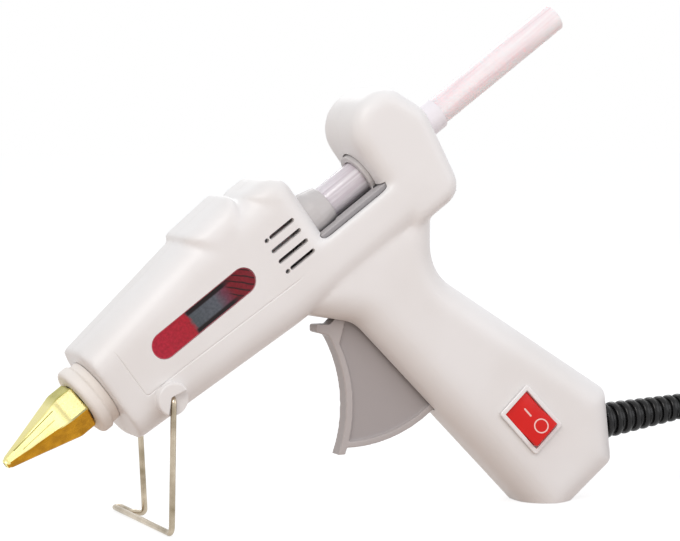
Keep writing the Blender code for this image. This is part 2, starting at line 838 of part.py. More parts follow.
def barrel_form(wall):
    """Barrel from its flat front face to below the hood, open above the notch."""
    top = line_at((0, FRONT_TOP), (SHOULDER_AT, BARREL_TOP), -RUNOUT)
    bottom = line_at((0, FRONT_BOTTOM), (BOTTOM_BEND_AT, BARREL_BOTTOM), -RUNOUT)
    end = HOOD_AT + HOOD_LENGTH - HOOD_HEEL
    corners = (
        (-RUNOUT, top, 0),
        (-RUNOUT, -bottom, 0),
        (BOTTOM_BEND_AT, -BARREL_BOTTOM, 0),
        (end, -BARREL_BOTTOM, BARREL_EDGE),
        (end, BARREL_TOP, 0),
        (SHOULDER_AT, BARREL_TOP, 0),
    )
    form = shell_form("barrel_form", BARREL, corners, BARREL_HALF, BARREL_EDGE, wall)
    notch_start = BARREL_LENGTH - (wall or NOTCH_LEAD)
    notch_floor = wall - NOTCH_DEPTH
    front = block("front_cut", BARREL, (-CUT_SPAN, -CUT_SPAN, -CUT_SPAN), (wall, CUT_SPAN, CUT_SPAN))
    notch = block("notch_cut", BARREL, (notch_start, -CUT_SPAN, notch_floor), (CUT_SPAN, CUT_SPAN, CUT_SPAN))
    return cut(form, front, notch)


def hood_form(wall):
    """Hood behind the notch, its nose rounded."""
    corners = (
        (HOOD_AT, HOOD_TOP, HOOD_NOSE_RADIUS),
        (HOOD_AT, -BARREL_BOTTOM - BAND_INSET, 0),
        (HOOD_AT + HOOD_LENGTH - HOOD_HEEL, -BARREL_BOTTOM - BAND_INSET, HOOD_HEEL_RADIUS),
        (HOOD_AT + HOOD_LENGTH, HOOD_TAIL_HEIGHT, HOOD_TAIL_RADIUS),
        (HOOD_AT + HOOD_LENGTH - HOOD_SLOPE, HOOD_TOP, HOOD_TOP_RADIUS),
    )
    return shell_form("hood_form", BARREL, corners, BARREL_HALF - BAND_INSET, HOOD_EDGE, wall)


def handle_form(wall):
    """Handle with full edges along it, cut flat at the butt."""
    tip = crossing(HANDLE_CHIN, (-BUTT_HALF, 0), BUTT_REAR_LOW, (BUTT_HALF, 0))
    corners = (
        (*tip, 0),
        (*BUTT_REAR_LOW, HANDLE_EDGE),
        (*BUTT_REAR_HIGH, HANDLE_EDGE),
        (*HANDLE_BACK, HANDLE_BACK_RADIUS),
        (*HANDLE_BACK_TOP, 0),
        (*HANDLE_ROOT_TOP, 0),
        (*HANDLE_ROOT_FRONT, 0),
        (*HANDLE_CHIN, HANDLE_EDGE),
    )
    form = shell_form("handle_form", STANDING, corners, HANDLE_HALF, HANDLE_EDGE, wall)
    low, high = (-CUT_SPAN, -CUT_SPAN, -CUT_SPAN), (CUT_SPAN, CUT_SPAN, wall)
    return cut(form, block("butt_cut", STANDING, low, high))


def band_forms():
    """The two raised bands round the top of the barrel."""
    start, end, low, high = FRONT_BAND_START, FRONT_BAND_END, FRONT_BAND_LOW, FRONT_BAND_HIGH
    front = (
        (start, low, SMALL_CORNER),
        (end, high, SMALL_CORNER),
        (end, -BAND_FOOT, 0),
        (start, -BAND_FOOT, 0),
    )
    back = (
        (REAR_BAND_START, REAR_BAND_TOP, SMALL_CORNER),
        (BARREL_LENGTH, REAR_BAND_TOP, BAND_EDGE + CORNER_EXTRA),
        (BARREL_LENGTH, -REAR_BAND_FOOT, 0),
        (REAR_BAND_START, -REAR_BAND_FOOT, 0),
    )
    half = BARREL_HALF - BAND_INSET
    return (
        shell_form("front_band", BARREL, front, half, BAND_EDGE, 0),
        shell_form("rear_band", BARREL, back, half, BAND_EDGE, 0),
    )


def both_sides(maker):
    """The same solid made on the near side (-1) and on the far side (1)."""
    return [maker(side) for side in (-1, 1)]


def stand_boss(side):
    return rod(
        "stand_boss",
        BARREL,
        (STAND_AT, side * COLLAR_BORE, -STAND_DROP),
        (STAND_AT, side * (BARREL_HALF + STAND_BOSS_OUT), -STAND_DROP),
        STAND_BOSS_RADIUS,
        ROUND_SIDES,
    )


def stand_post(side):
    """Wall round the hole for the stand's end."""
    return rod(
        "stand_post",
        BARREL,
        (STAND_AT, side * (STAND_PIN_INNER - WALL), -STAND_DROP),
        (STAND_AT, side * BARREL_HALF, -STAND_DROP),
        STAND_WIRE + WALL,
    )


def stand_hole(side):
    return rod(
        "stand_hole",
        BARREL,
        (STAND_AT, side * (STAND_PIN_INNER - GAP), -STAND_DROP),
        (STAND_AT, side * (BARREL_HALF + STAND_BOSS_OUT + OVERRUN), -STAND_DROP),
        STAND_WIRE + GAP,
    )


def stand_sweep(side):
    """Recess in the boss's face in which the stand's leg swings."""
    reach = STAND_BOSS_RADIUS + OVERRUN
    room = STAND_WIRE + GAP
    middle = Vector((STAND_AT, -STAND_DROP))
    first = -math.pi / 2 - BARREL_TILT - STAND_LEAN
    last = first + STAND_FOLD + 2 * STAND_LEAN
    starts = [
        middle + room * Vector((math.sin(first), -math.cos(first))),
        middle - room * Vector((math.sin(last), -math.cos(last))),
    ]
    points = [starts[0], starts[0] + reach * Vector((math.cos(first), math.sin(first)))]
    for step in range(SWEEP_STEPS + 1):
        angle = first + (last - first) * step / SWEEP_STEPS
        points.append(middle + reach * Vector((math.cos(angle), math.sin(angle))))
    points += [starts[1] + reach * Vector((math.cos(last), math.sin(last))), starts[1]]
    inner = BARREL_HALF + STAND_BOSS_FLOOR
    outer = BARREL_HALF + STAND_BOSS_OUT + OVERRUN
    return slab("stand_sweep", BARREL, points, *sorted((side * inner, side * outer)))


def screw_places():
    """Every casing screw as (frame, x, z)."""
    return [(BARREL, *spot) for spot in BARREL_SCREWS] + [(STANDING, *spot) for spot in HANDLE_SCREWS]


def screw_post(spot):
    axes, x, z = spot
    return rod("screw_post", axes, (x, -BARREL_HALF, z), (x, BARREL_HALF, z), POST_RADIUS)


def pin_boss(side):
    """Boss that holds an end of the trigger's pin."""
    inner = side * (TRIGGER_HALF + RUNNING_GAP)
    outer = side * BARREL_HALF
    return rod("pin_boss", STANDING, (PIVOT_X, inner, PIVOT_Z), (PIVOT_X, outer, PIVOT_Z), PIN_BOSS_RADIUS)


def stick_rib():
    """Rib behind the seal that guides the stick and takes the chamber's push."""
    back = RIB_AT + RIB_THICK
    rib = block("stick_rib", BARREL, (RIB_AT, -BARREL_HALF, -RIB_DROP), (back, BARREL_HALF, BARREL_TOP))
    bore = (RIB_AT - OVERRUN, 0, 0), (back + OVERRUN, 0, 0)
    return cut(rib, rod("rib_bore", BARREL, *bore, STICK_RADIUS + RUNNING_GAP, ROUND_SIDES))


def spring_rib():
    """Rib in the near half that the return spring pushes against."""
    low = (SPRING_FRONT - RIB_THICK, -BARREL_HALF, -SPRING_HEIGHT - SPRING_RADIUS - RIB_THICK)
    high = (SPRING_FRONT, -SPRING_SIDE + SPRING_RADIUS + RIB_THICK, -SPRING_HEIGHT + SPRING_RADIUS)
    return block("spring_rib", BARREL, low, high)


def casing_outside():
    form = barrel_form(0)
    return join(form, hood_form(0), handle_form(0), *band_forms(), *both_sides(stand_boss))


def casing_hollow():
    """The space inside the casing, less the posts and ribs that stand in it."""
    space = join(barrel_form(WALL), hood_form(WALL), handle_form(WALL))
    posts = [screw_post(spot) for spot in screw_places()]
    return cut(space, *posts, *both_sides(pin_boss), *both_sides(stand_post), stick_rib(), spring_rib())


def round_ended(start, end, height, radius, steps):
    """Points of a long outline with half-round ends, whose centres are at start and end."""
    points = []
    for place, first in ((end, -math.pi / 2), (start, math.pi / 2)):
        for step in range(steps + 1):
            angle = first + math.pi * step / steps
            points.append((place + radius * math.cos(angle), height + radius * math.sin(angle)))
    return points


def window_form(name, grow, low, high):
    """A long round-ended slab at the window."""
    points = round_ended(WINDOW_START, WINDOW_END, WINDOW_HEIGHT, WINDOW_RADIUS + grow, WINDOW_STEPS)
    return slab(name, BARREL, points, low, high)


def vent_slots():
    """Round-ended slots through both side walls, the outer two broken near their front ends."""
    slots = []
    for row in range(VENT_COUNT):
        height = VENT_TOP - row * VENT_PITCH
        broken = row in (0, VENT_COUNT - 1)
        runs = [(VENT_START, VENT_END)]
        if broken:
            runs = [(VENT_START, VENT_START + VENT_RADIUS / 4), (VENT_START + VENT_DOT, VENT_END)]
        for start, end in runs:
            points = round_ended(start, end, height, VENT_RADIUS, VENT_STEPS)
            for side in (-1, 1):
                low, high = sorted((side * (BARREL_HALF - 2 * WALL), side * (BARREL_HALF + OVERRUN)))
                slots.append(slab("vent", BARREL, points, low, high))
    return slots


def trigger_slot():
    """Slot in the handle's front and chin, no longer than the trigger's rim needs."""
    lead = TRIGGER_TOP[0] - RUNNING_GAP
    corners = (
        (lead, TRIGGER_TOP[1]),
        (lead, PIVOT_Z + RUNNING_GAP),
        (PIVOT_X + TRIGGER_HUB, PIVOT_Z),
        (HANDLE_CHIN[0] + RUNOUT + SLOT_DEEP, HANDLE_CHIN[1] - RUNOUT + SLOT_DEEP),
        (HANDLE_CHIN[0] + 2 * RUNOUT, HANDLE_CHIN[1] - 2 * RUNOUT),
        (HANDLE_CHIN[0] + RUNOUT, HANDLE_CHIN[1] - 2 * RUNOUT),
    )
    slot = slab("trigger_slot", STANDING, corners, -TRIGGER_SLOT_HALF, TRIGGER_SLOT_HALF)
    ends = (PIVOT_X, -TRIGGER_PIN_HALF, PIVOT_Z), (PIVOT_X, TRIGGER_PIN_HALF, PIVOT_Z)
    return trim(slot, rod("rim_sweep", STANDING, *ends, TRIGGER_RIM_RADIUS + RUNNING_GAP, 2 * ROUND_SIDES))


def casing_openings():
    """Everything that is cut through the casing's walls."""
    neck = COLLAR_NECK + RUNNING_GAP
    arch = CARRIAGE_RADIUS + RUNNING_GAP
    bush = INLET_RADIUS + GAP
    seat = -WALL
    switch_half = (SWITCH_LENGTH / 2 + GAP, SWITCH_WIDTH / 2 + GAP)
    openings = [
        rod("collar_bore", BARREL, (-OVERRUN, 0, 0), (WALL + OVERRUN, 0, 0), neck, ROUND_SIDES),
        rod("arch", BARREL, (BARREL_LENGTH - 2 * WALL, 0, 0), (HOOD_AT + 2 * WALL, 0, 0), arch, ROUND_SIDES),
        rod("inlet", BARREL, (INLET_AT, 0, 0), (HOOD_AT + HOOD_LENGTH + OVERRUN, 0, 0), bush, ROUND_SIDES),
        rod("relief_hole", RELIEF, (seat - OVERRUN, 0, 0), (OVERRUN, 0, 0), RELIEF_NECK + GAP, ROUND_SIDES),
        rod("relief_seat", RELIEF, (seat - 2 * WALL, 0, 0), (seat, 0, 0), RELIEF_FLANGE + GAP, ROUND_SIDES),
        rod(
            "pin_hole",
            STANDING,
            (PIVOT_X, -TRIGGER_PIN_HALF - GAP, PIVOT_Z),
            (PIVOT_X, TRIGGER_PIN_HALF + GAP, PIVOT_Z),
            TRIGGER_PIN_RADIUS + GAP,
        ),
        block(
            "switch_hole",
            SWITCH,
            (-switch_half[0], -OVERRUN, -switch_half[1]),
            (switch_half[0], WALL + OVERRUN, switch_half[1]),
        ),
        trigger_slot(),
    ]
    for side in (-1, 1):
        low, high = sorted((side * (BARREL_HALF - 2 * WALL), side * (BARREL_HALF + OVERRUN)))
        openings.append(window_form("window_hole", GAP, low, high))
    return openings + vent_slots() + both_sides(stand_hole) + both_sides(stand_sweep)


def screw_cuts():
    """A blind hole in the near half, and a clear hole with a seat in the far half, for each screw."""
    cuts = []
    for axes, x, z in screw_places():
        bottom = (x, -SCREW_REACH - GAP, z)
        seat = (x, SCREW_SEAT, z)
        outside = (x, BARREL_HALF + OVERRUN, z)
        cuts.append(rod("screw_hole", axes, bottom, seat, SCREW_RADIUS + GAP))
        cuts.append(rod("screw_seat", axes, seat, outside, SCREW_HEAD_RADIUS + GAP))
    return cuts


def make_casing():
    """The two halves of the casing, parted just beyond the middle plane."""
    whole = cut(casing_outside(), casing_hollow())
    whole = cut(whole, *casing_openings())
    whole = cut(whole, *screw_cuts())
    other = new_object("other_half", whole.data.copy(), whole.parent)
    other.location = whole.location
    other.rotation_euler = whole.rotation_euler
    halves = (
        (whole, "casing_left", SEAM_OFFSET, CUT_SPAN),
        (other, "casing_right", -CUT_SPAN, SEAM_OFFSET + GAP),
    )
    for piece, name, low, high in halves:
        away = block("half_cut", STANDING, (-CUT_SPAN, low, -CUT_SPAN), (CUT_SPAN, high, CUT_SPAN))
        part(cut(piece, away), name, "housing_plastic")


def make_windows():
    """Red window in each side, with a flange behind the wall."""
    for side, name in ((-1, "window_left"), (1, "window_right")):
        face = side * (BARREL_HALF - WINDOW_RECESS)
        back = side * (BARREL_HALF - WALL - GAP)
        rim = side * (BARREL_HALF - WALL - GAP - WINDOW_FLANGE_THICK)
        lens = window_form("lens", 0, *sorted((face, (back + rim) / 2)))
        flange = window_form("lens_flange", WINDOW_FLANGE, *sorted((back, rim)))
        part(join(lens, flange), name, "window_red")


# Front end


def make_collar():
    """Round collar held in the casing's front, with a groove before the casing."""
    lip = -COLLAR_GROOVE - COLLAR_LIP + GAP
    profile = (
        (COLLAR_BACK, COLLAR_FLANGE),
        (WALL + GAP, COLLAR_FLANGE),
        (WALL + GAP, COLLAR_NECK),
        (-COLLAR_GROOVE, COLLAR_NECK),
        (-COLLAR_GROOVE, COLLAR_RADIUS),
        (lip + SMALL_ROUND, COLLAR_RADIUS),
        (lip, COLLAR_RADIUS - SMALL_ROUND),
        (lip, COLLAR_BORE),
        (COLLAR_BACK, COLLAR_BORE),
    )
    part(turned("collar", BARREL, profile, hollow=True), "nozzle_collar", "collar_silicone")


def make_chamber():
    """Cast melt chamber: round body, threaded neck and a pocket for the heater below."""
    neck_end = NOZZLE_BACK + GAP
    body = turned(
        "chamber",
        BARREL,
        (
            (CHAMBER_LENGTH, 0),
            (CHAMBER_LENGTH, SEAL_BORE - GAP),
            (SEAL_AT - GAP, SEAL_BORE - GAP),
            (SEAL_AT - GAP, CHAMBER_RADIUS),
            (CHAMBER_SHOULDER, CHAMBER_RADIUS),
            (CHAMBER_SHOULDER, CHAMBER_NECK),
            (neck_end, CHAMBER_NECK),
            (neck_end, 0),
        ),
    )
    pocket_half = HEATER_HALF + GAP
    pad_end = HEATER_END + OVERRUN
    pad = block(
        "pad",
        BARREL,
        (CHAMBER_SHOULDER + GAP, -pocket_half - PAD_WALL, -PAD_BOTTOM),
        (pad_end, pocket_half + PAD_WALL, 0),
    )
    bore = turned(
        "bore",
        BARREL,
        (
            (CHAMBER_LENGTH + OVERRUN, 0),
            (CHAMBER_LENGTH + OVERRUN, STICK_RADIUS + GAP),
            (CHAMBER_SPOUT + STICK_RADIUS, STICK_RADIUS + GAP),
            (CHAMBER_SPOUT, SPOUT_BORE),
            (THREAD_END + GAP, SPOUT_BORE),
            (THREAD_END + GAP, NOZZLE_THREAD_RADIUS + GAP),
            (neck_end - OVERRUN, NOZZLE_THREAD_RADIUS + GAP),
            (neck_end - OVERRUN, 0),
        ),
        SMALL_SIDES + SMALL_SIDES // 3,
    )
    pocket = block(
        "pocket",
        BARREL,
        (HEATER_START - GAP, -pocket_half, -HEATER_TOP - HEATER_THICK - GAP),
        (pad_end + OVERRUN, pocket_half, -HEATER_TOP + GAP),
    )
    part(cut(join(body, pad), bore, pocket), "melt_chamber", "chamber_aluminium")


def make_heater():
    """Flat heater in the chamber's pocket."""
    low = (HEATER_START, -HEATER_HALF, -HEATER_TOP - HEATER_THICK)
    high = (HEATER_END, HEATER_HALF, -HEATER_TOP)
    part(block("heater", BARREL, low, high), "heater_plate", "heater_ceramic")


def hexagon_radius(angle, radius):
    """Distance from the centre to a hexagon's edge, whose first corner is at the nozzle's turn."""
    third = math.pi / 3
    away = (angle - NOZZLE_TURN) % third - third / 2
    return radius * math.cos(third / 2) / math.cos(away)


def make_nozzle():
    """Six-sided brass nozzle with a round thread behind and a bore through it."""
    hexagon = NOZZLE_BACK - NOZZLE_HEX_LENGTH
    tip = NOZZLE_BACK - NOZZLE_HEX_LENGTH - NOZZLE_CONE_LENGTH
    rings = (
        (THREAD_END, NOZZLE_THREAD_RADIUS, False),
        (NOZZLE_BACK, NOZZLE_THREAD_RADIUS, False),
        (NOZZLE_BACK, NOZZLE_HEX - SMALL_ROUND, True),
        (NOZZLE_BACK - SMALL_ROUND, NOZZLE_HEX, True),
        (hexagon, NOZZLE_HEX, True),
        (tip + SMALL_ROUND, NOZZLE_TIP_RADIUS, True),
        (tip, NOZZLE_TIP_RADIUS - SMALL_ROUND, False),
        (tip, NOZZLE_BORE, False),
        (hexagon, NOZZLE_BORE, False),
        (THREAD_END, NOZZLE_THREAD_RADIUS - PAD_WALL, False),
    )
    build = bmesh.new()
    loops = []
    for place, radius, six_sided in rings:
        loop = []
        for step in range(NOZZLE_POINTS):
            angle = 2 * math.pi * step / NOZZLE_POINTS + NOZZLE_TURN
            out = hexagon_radius(angle, radius) if six_sided else radius
            loop.append(build.verts.new((place, -out * math.sin(angle), out * math.cos(angle))))
        loops.append(loop)
    for first, second in zip(loops, loops[1:] + loops[:1]):
        for step in range(NOZZLE_POINTS):
            following = (step + 1) % NOZZLE_POINTS
            build.faces.new((first[step], first[following], second[following], second[step]))
    mesh = bpy.data.meshes.new("nozzle")
    build.to_mesh(mesh)
    build.free()
    outward(mesh)
    part(new_object("nozzle", mesh, BARREL), "nozzle", "nozzle_brass", smooth=20.0)


def make_seal():
    """Silicone seal from the chamber's end to the stick."""
    back = SEAL_AT + SEAL_LENGTH
    profile = (
        (back, STICK_RADIUS + WALL),
        (SEAL_AT + SEAL_OVERLAP, SEAL_RADIUS),
        (SEAL_AT, SEAL_RADIUS),
        (SEAL_AT, SEAL_BORE),
        (CHAMBER_LENGTH + GAP, SEAL_BORE),
        (CHAMBER_LENGTH + GAP, STICK_RADIUS + RUNNING_GAP),
        (back, STICK_RADIUS + RUNNING_GAP),
    )
    part(turned("seal", BARREL, profile, hollow=True), "chamber_seal", "seal_silicone")


def make_seal_clamp():
    """Wire ring round the seal, over the chamber's end."""
    mean = SEAL_RADIUS + GAP + CLAMP_WIRE
    middle = SEAL_AT + SEAL_OVERLAP / 2
    sides = SMALL_SIDES // 2
    profile = []
    for step in range(sides):
        angle = 2 * math.pi * step / sides
        profile.append((middle + CLAMP_WIRE * math.cos(angle), mean + CLAMP_WIRE * math.sin(angle)))
    part(turned("clamp", BARREL, profile, hollow=True), "seal_clamp", "spring_steel")


# Feed


def make_carriage():
    """Feed carriage: a collar round the stick, an open trough, and an arch ring in the hood."""
    inner = SLEEVE_RADIUS + GAP
    collar = turned(
        "carriage",
        BARREL,
        (
            (CARRIAGE_NOSE_END, CARRIAGE_NOSE),
            (CARRIAGE_NOSE_START, CARRIAGE_RADIUS),
            (CARRIAGE_START, CARRIAGE_RADIUS),
            (CARRIAGE_START, STICK_RADIUS + RUNNING_GAP),
            (SLEEVE_START - GAP, STICK_RADIUS + RUNNING_GAP),
            (SLEEVE_START - GAP, inner),
            (CARRIAGE_NOSE_END, inner),
        ),
        hollow=True,
    )
    ring = pipe("arch_ring", BARREL, CARRIAGE_ARCH_START, CARRIAGE_END, CARRIAGE_RADIUS - BAND_INSET, inner)
    floor_start = CARRIAGE_START + 2 * TROUGH_WALL
    trough = block(
        "trough",
        BARREL,
        (TROUGH_START, -TROUGH_HALF, -TROUGH_BOTTOM),
        (CARRIAGE_ARCH_START + GAP, TROUGH_HALF, -TROUGH_TOP),
    )
    hollow = block(
        "trough_hollow",
        BARREL,
        (TROUGH_START - OVERRUN, TROUGH_WALL - TROUGH_HALF, TROUGH_WALL - TROUGH_BOTTOM),
        (CARRIAGE_END + OVERRUN, TROUGH_HALF - TROUGH_WALL, 0),
    )
    floor = block(
        "floor",
        BARREL,
        (floor_start, -TROUGH_HALF, -TROUGH_BOTTOM),
        (CARRIAGE_END, TROUGH_HALF, TROUGH_WALL - TROUGH_BOTTOM),
    )
    lug_outer = LUG_HALF_INNER + LUG_THICK
    front_web = block(
        "front_web",
        BARREL,
        (floor_start, -lug_outer, -TROUGH_BOTTOM + WELD),
        (CARRIAGE_NOSE_START + TROUGH_WALL, lug_outer, -CARRIAGE_NOSE),
    )
    back_web = block(
        "back_web",
        BARREL,
        (CARRIAGE_ARCH_START + GAP, -lug_outer, -TROUGH_BOTTOM + WELD),
        (CARRIAGE_END - GAP, lug_outer, -CARRIAGE_NOSE),
    )
    lugs = block(
        "lugs",
        BARREL,
        (floor_start + GAP, -lug_outer, -DRIVE_PIN_HEIGHT - DRIVE_PIN_RADIUS - WELD),
        (floor_start + LUG_LENGTH, lug_outer, -CARRIAGE_NOSE - GAP),
    )
    lug_slot = block(
        "lug_slot",
        BARREL,
        (floor_start - OVERRUN, -LUG_HALF_INNER, -TROUGH_BOTTOM - LUG_DROP),
        (floor_start + LUG_LENGTH + GAP, LUG_HALF_INNER, -STICK_RADIUS),
    )
    drive_x = PIVOT_ALONG + DRIVE_LEAD
    pin = rod(
        "drive_pin",
        BARREL,
        (drive_x, -lug_outer + GAP, -DRIVE_PIN_HEIGHT),
        (drive_x, lug_outer - GAP, -DRIVE_PIN_HEIGHT),
        DRIVE_PIN_RADIUS,
    )
    seat_front = SPRING_FRONT + SPRING_LENGTH + 2 * GAP
    spring_seat = block(
        "spring_seat",
        BARREL,
        (seat_front, -TROUGH_HALF, -SPRING_HEIGHT - SPRING_RADIUS),
        (seat_front + TROUGH_WALL, -SPRING_SIDE + SPRING_RADIUS + GAP, TROUGH_WALL / 2 - TROUGH_BOTTOM),
    )
    jaw_hole = rod(
        "jaw_hole",
        BARREL,
        (JAW_PIN_AT, -lug_outer - GAP, -JAW_PIN_HEIGHT),
        (JAW_PIN_AT, lug_outer + GAP, -JAW_PIN_HEIGHT),
        JAW_PIN_RADIUS + GAP,
        SMALL_SIDES,
    )
    trough = cut(trough, hollow)
    body = join(collar, front_web, floor, lugs, trough, back_web, ring, spring_seat)
    body = cut(body, lug_slot)
    body = join(body, pin)
    part(cut(body, jaw_hole), "feed_carriage", "carriage_plastic", standing_point(CARRIAGE_START, 0))


def standing_point(along, up):
    x, z = standing_xz(along, up)
    return x, 0, z


def make_sleeve():
    """Clear sleeve in the carriage, round the stick."""
    end = SLEEVE_START + SLEEVE_LENGTH
    sleeve = pipe("sleeve", BARREL, SLEEVE_START, end, SLEEVE_RADIUS, STICK_RADIUS + GAP)
    part(sleeve, "feed_sleeve", "sleeve_clear")


def make_jaw():
    """Toothed jaw on a pin under the carriage's collar."""
    corners = (
        (JAW_PIN_AT + JAW_HUB, -JAW_PIN_HEIGHT - JAW_HUB, JAW_HUB / 2),
        (JAW_PIN_AT + JAW_HUB, -JAW_PIN_HEIGHT + JAW_HUB, JAW_HUB / 2),
        (JAW_PIN_AT - JAW_TOOTH, JAW_TOP, 0),
        (JAW_PIN_AT - JAW_TOOTH - JAW_HUB, JAW_TOP - JAW_HUB / 2, 0),
        (JAW_PIN_AT - JAW_HUB, -JAW_PIN_HEIGHT - JAW_HUB, JAW_HUB / 2),
    )
    jaw = slab("jaw", BARREL, outline(corners), -JAW_HALF, JAW_HALF)
    ends = (JAW_PIN_AT, -OVERRUN, -JAW_PIN_HEIGHT), (JAW_PIN_AT, OVERRUN, -JAW_PIN_HEIGHT)
    hole = rod("jaw_bore", BARREL, *ends, JAW_PIN_RADIUS + GAP)
    part(cut(jaw, hole), "grip_jaw", "jaw_steel", standing_point(JAW_PIN_AT, -JAW_PIN_HEIGHT))


def make_jaw_pin():
    half = LUG_HALF_INNER + LUG_THICK
    ends = (JAW_PIN_AT, -half, -JAW_PIN_HEIGHT), (JAW_PIN_AT, half, -JAW_PIN_HEIGHT)
    part(rod("pin", BARREL, *ends, JAW_PIN_RADIUS), "jaw_pin", "pin_steel")


def make_stick():
    """Glue stick from the chamber out through the back of the hood."""
    profile = (
        (STICK_START + STICK_REACH, 0),
        (STICK_START + STICK_REACH, STICK_RADIUS),
        (STICK_START, STICK_RADIUS),
        (STICK_START, 0),
    )
    part(turned("stick", BARREL, profile), "glue_stick", "glue_stick")


def make_inlet_bush():
    """Bush round the stick in the hood's back."""
    bore = STICK_RADIUS + GAP
    profile = (
        (INLET_END, INLET_RADIUS),
        (INLET_AT, INLET_RADIUS),
        (INLET_AT, INLET_FLANGE),
        (INLET_AT - WALL, INLET_FLANGE),
        (INLET_AT - WALL, bore),
        (INLET_END, bore),
    )
    part(turned("bush", BARREL, profile, hollow=True), "inlet_bush", "inlet_bush")


# Trigger


def bowed(start, end, sag, count):
    """Points on an arc from start to end that bows to the right of the way by sag."""
    first, last = Vector(start), Vector(end)
    way = last - first
    radius = (way.length**2 / 4 + sag**2) / (2 * sag)
    right = Vector((-way.y, way.x)).normalized()
    centre = (first + last) / 2 + right * (sag - radius)
    spoke = first - centre
    turn = spoke.angle(last - centre)
    return [centre + Matrix.Rotation(-turn * step / count, 2) @ spoke for step in range(count + 1)]


def on_rim(radius, angle):
    return PIVOT_X + radius * math.cos(angle), PIVOT_Z + radius * math.sin(angle)


def rim_arc(radius, short=0.0):
    span = (TRIGGER_RIM_END - TRIGGER_RIM_START - short) / TRIGGER_STEPS
    return [on_rim(radius, TRIGGER_RIM_START + span * step) for step in range(TRIGGER_STEPS + 1)]


def make_trigger():
    """Trigger: hub, bowed finger strip with a lip, curved rim, a thin web between, and a forked arm above."""
    face = bowed(TRIGGER_TOP, TRIGGER_TOE, TRIGGER_SAG, TRIGGER_STEPS)
    back = [point + Vector((TRIGGER_STRIP, 0)) for point in face]
    half = TRIGGER_HALF
    hub_top = (PIVOT_X, PIVOT_Z)
    strip = slab("strip", STANDING, face + back[::-1], -half, half)
    rim_outer = rim_arc(TRIGGER_RIM_RADIUS)
    rim_inner = rim_arc(TRIGGER_RIM_RADIUS - TRIGGER_RIM_THICK)
    rim = slab("rim", STANDING, rim_outer + rim_inner[::-1], -half + WELD, half - WELD)
    top_x, top_z = TRIGGER_TOP
    lip = plate(
        "lip",
        STANDING,
        (
            (top_x - TRIGGER_LIP, top_z + TRIGGER_LIP_TOP, TRIGGER_LIP_ROUND),
            (top_x - TRIGGER_LIP, top_z + TRIGGER_LIP_LOW, TRIGGER_LIP_ROUND),
            (top_x, top_z - TRIGGER_LIP_LOW, 0),
            (top_x + TRIGGER_LIP, top_z - TRIGGER_LIP, 0),
            (PIVOT_X, PIVOT_Z, 0),
            (top_x + TRIGGER_LIP_ROUND, top_z + TRIGGER_LIP_TOP, 0),
        ),
        -half + 2 * WELD,
        half - 2 * WELD,
    )
    middle = [point + Vector((TRIGGER_STRIP / 2, 0)) for point in face[1:-1]]
    web_rim = rim_arc(TRIGGER_RIM_RADIUS - TRIGGER_RIM_THICK / 2, TRIGGER_RIM_SHORT)
    web = slab("web", STANDING, middle + web_rim + [hub_top], -TRIGGER_WEB_HALF, TRIGGER_WEB_HALF)
    hub_ends = (PIVOT_X, -half, PIVOT_Z), (PIVOT_X, half, PIVOT_Z)
    hub = rod("hub", STANDING, *hub_ends, TRIGGER_HUB, ROUND_SIDES)
    angle = math.atan2(DRIVE_PIN_HEIGHT_ABOVE, DRIVE_LEAD) + BARREL_TILT
    reach = math.hypot(DRIVE_PIN_HEIGHT_ABOVE, DRIVE_LEAD)
    slot_half = DRIVE_PIN_RADIUS + FORK_PLAY

    def arm_point(out, side):
        x = PIVOT_X + out * math.cos(angle) - side * math.sin(angle)
        return x, PIVOT_Z + out * math.sin(angle) + side * math.cos(angle)

    tip = reach + FORK_TIP
    root = reach - slot_half
    arm_outline = [
        arm_point(0, -FORK_HALF),
        arm_point(tip, -FORK_HALF),
        arm_point(tip, -slot_half),
        arm_point(root, -slot_half),
        arm_point(root, slot_half),
        arm_point(tip, slot_half),
        arm_point(tip, FORK_HALF),
        arm_point(0, FORK_HALF),
    ]
    arm = slab("arm", STANDING, arm_outline, -TRIGGER_WEB_HALF + WELD, TRIGGER_WEB_HALF - WELD)
    hole_ends = (PIVOT_X, -half - OVERRUN, PIVOT_Z), (PIVOT_X, half + OVERRUN, PIVOT_Z)
    hole = rod("hole", STANDING, *hole_ends, TRIGGER_PIN_RADIUS + GAP)
    body = join(web, strip, rim, lip, hub, arm)
    part(cut(body, hole), "trigger", "trigger_plastic", (PIVOT_X, 0, PIVOT_Z))


def make_trigger_pin():
    ends = (PIVOT_X, -TRIGGER_PIN_HALF, PIVOT_Z), (PIVOT_X, TRIGGER_PIN_HALF, PIVOT_Z)
    part(rod("trigger_pin", STANDING, *ends, TRIGGER_PIN_RADIUS), "trigger_pin", "pin_steel")


def least_gap(points, radius, apart):
    """The least gap between stretches of a tube that are more than some points apart along it."""
    least = min(
        (first - second).length
        for index, first in enumerate(points)
        for second in points[index + apart:]
    )
    return least - 2 * radius


def make_return_spring():
    """Coil spring between the near half's rib and the carriage's seat."""
    mean = SPRING_RADIUS - SPRING_WIRE
    run = SPRING_LENGTH - 2 * SPRING_WIRE
    points = []
    total = SPRING_CURLS * SPRING_POINTS
    for step in range(total + 1):
        angle = 2 * math.pi * step / SPRING_POINTS
        along = SPRING_FRONT + GAP + SPRING_WIRE + run * step / total
        side, up = mean * math.cos(angle) - SPRING_SIDE, mean * math.sin(angle) - SPRING_HEIGHT
        points.append(Vector((along, side, up)))
    print("return_spring least gap mm", round(1000 * least_gap(points, SPRING_WIRE, SPRING_POINTS // 2), 3))
    part(tube("spring", BARREL, points, SPRING_WIRE, FORM_STEPS), "return_spring", "spring_steel")


# Stand


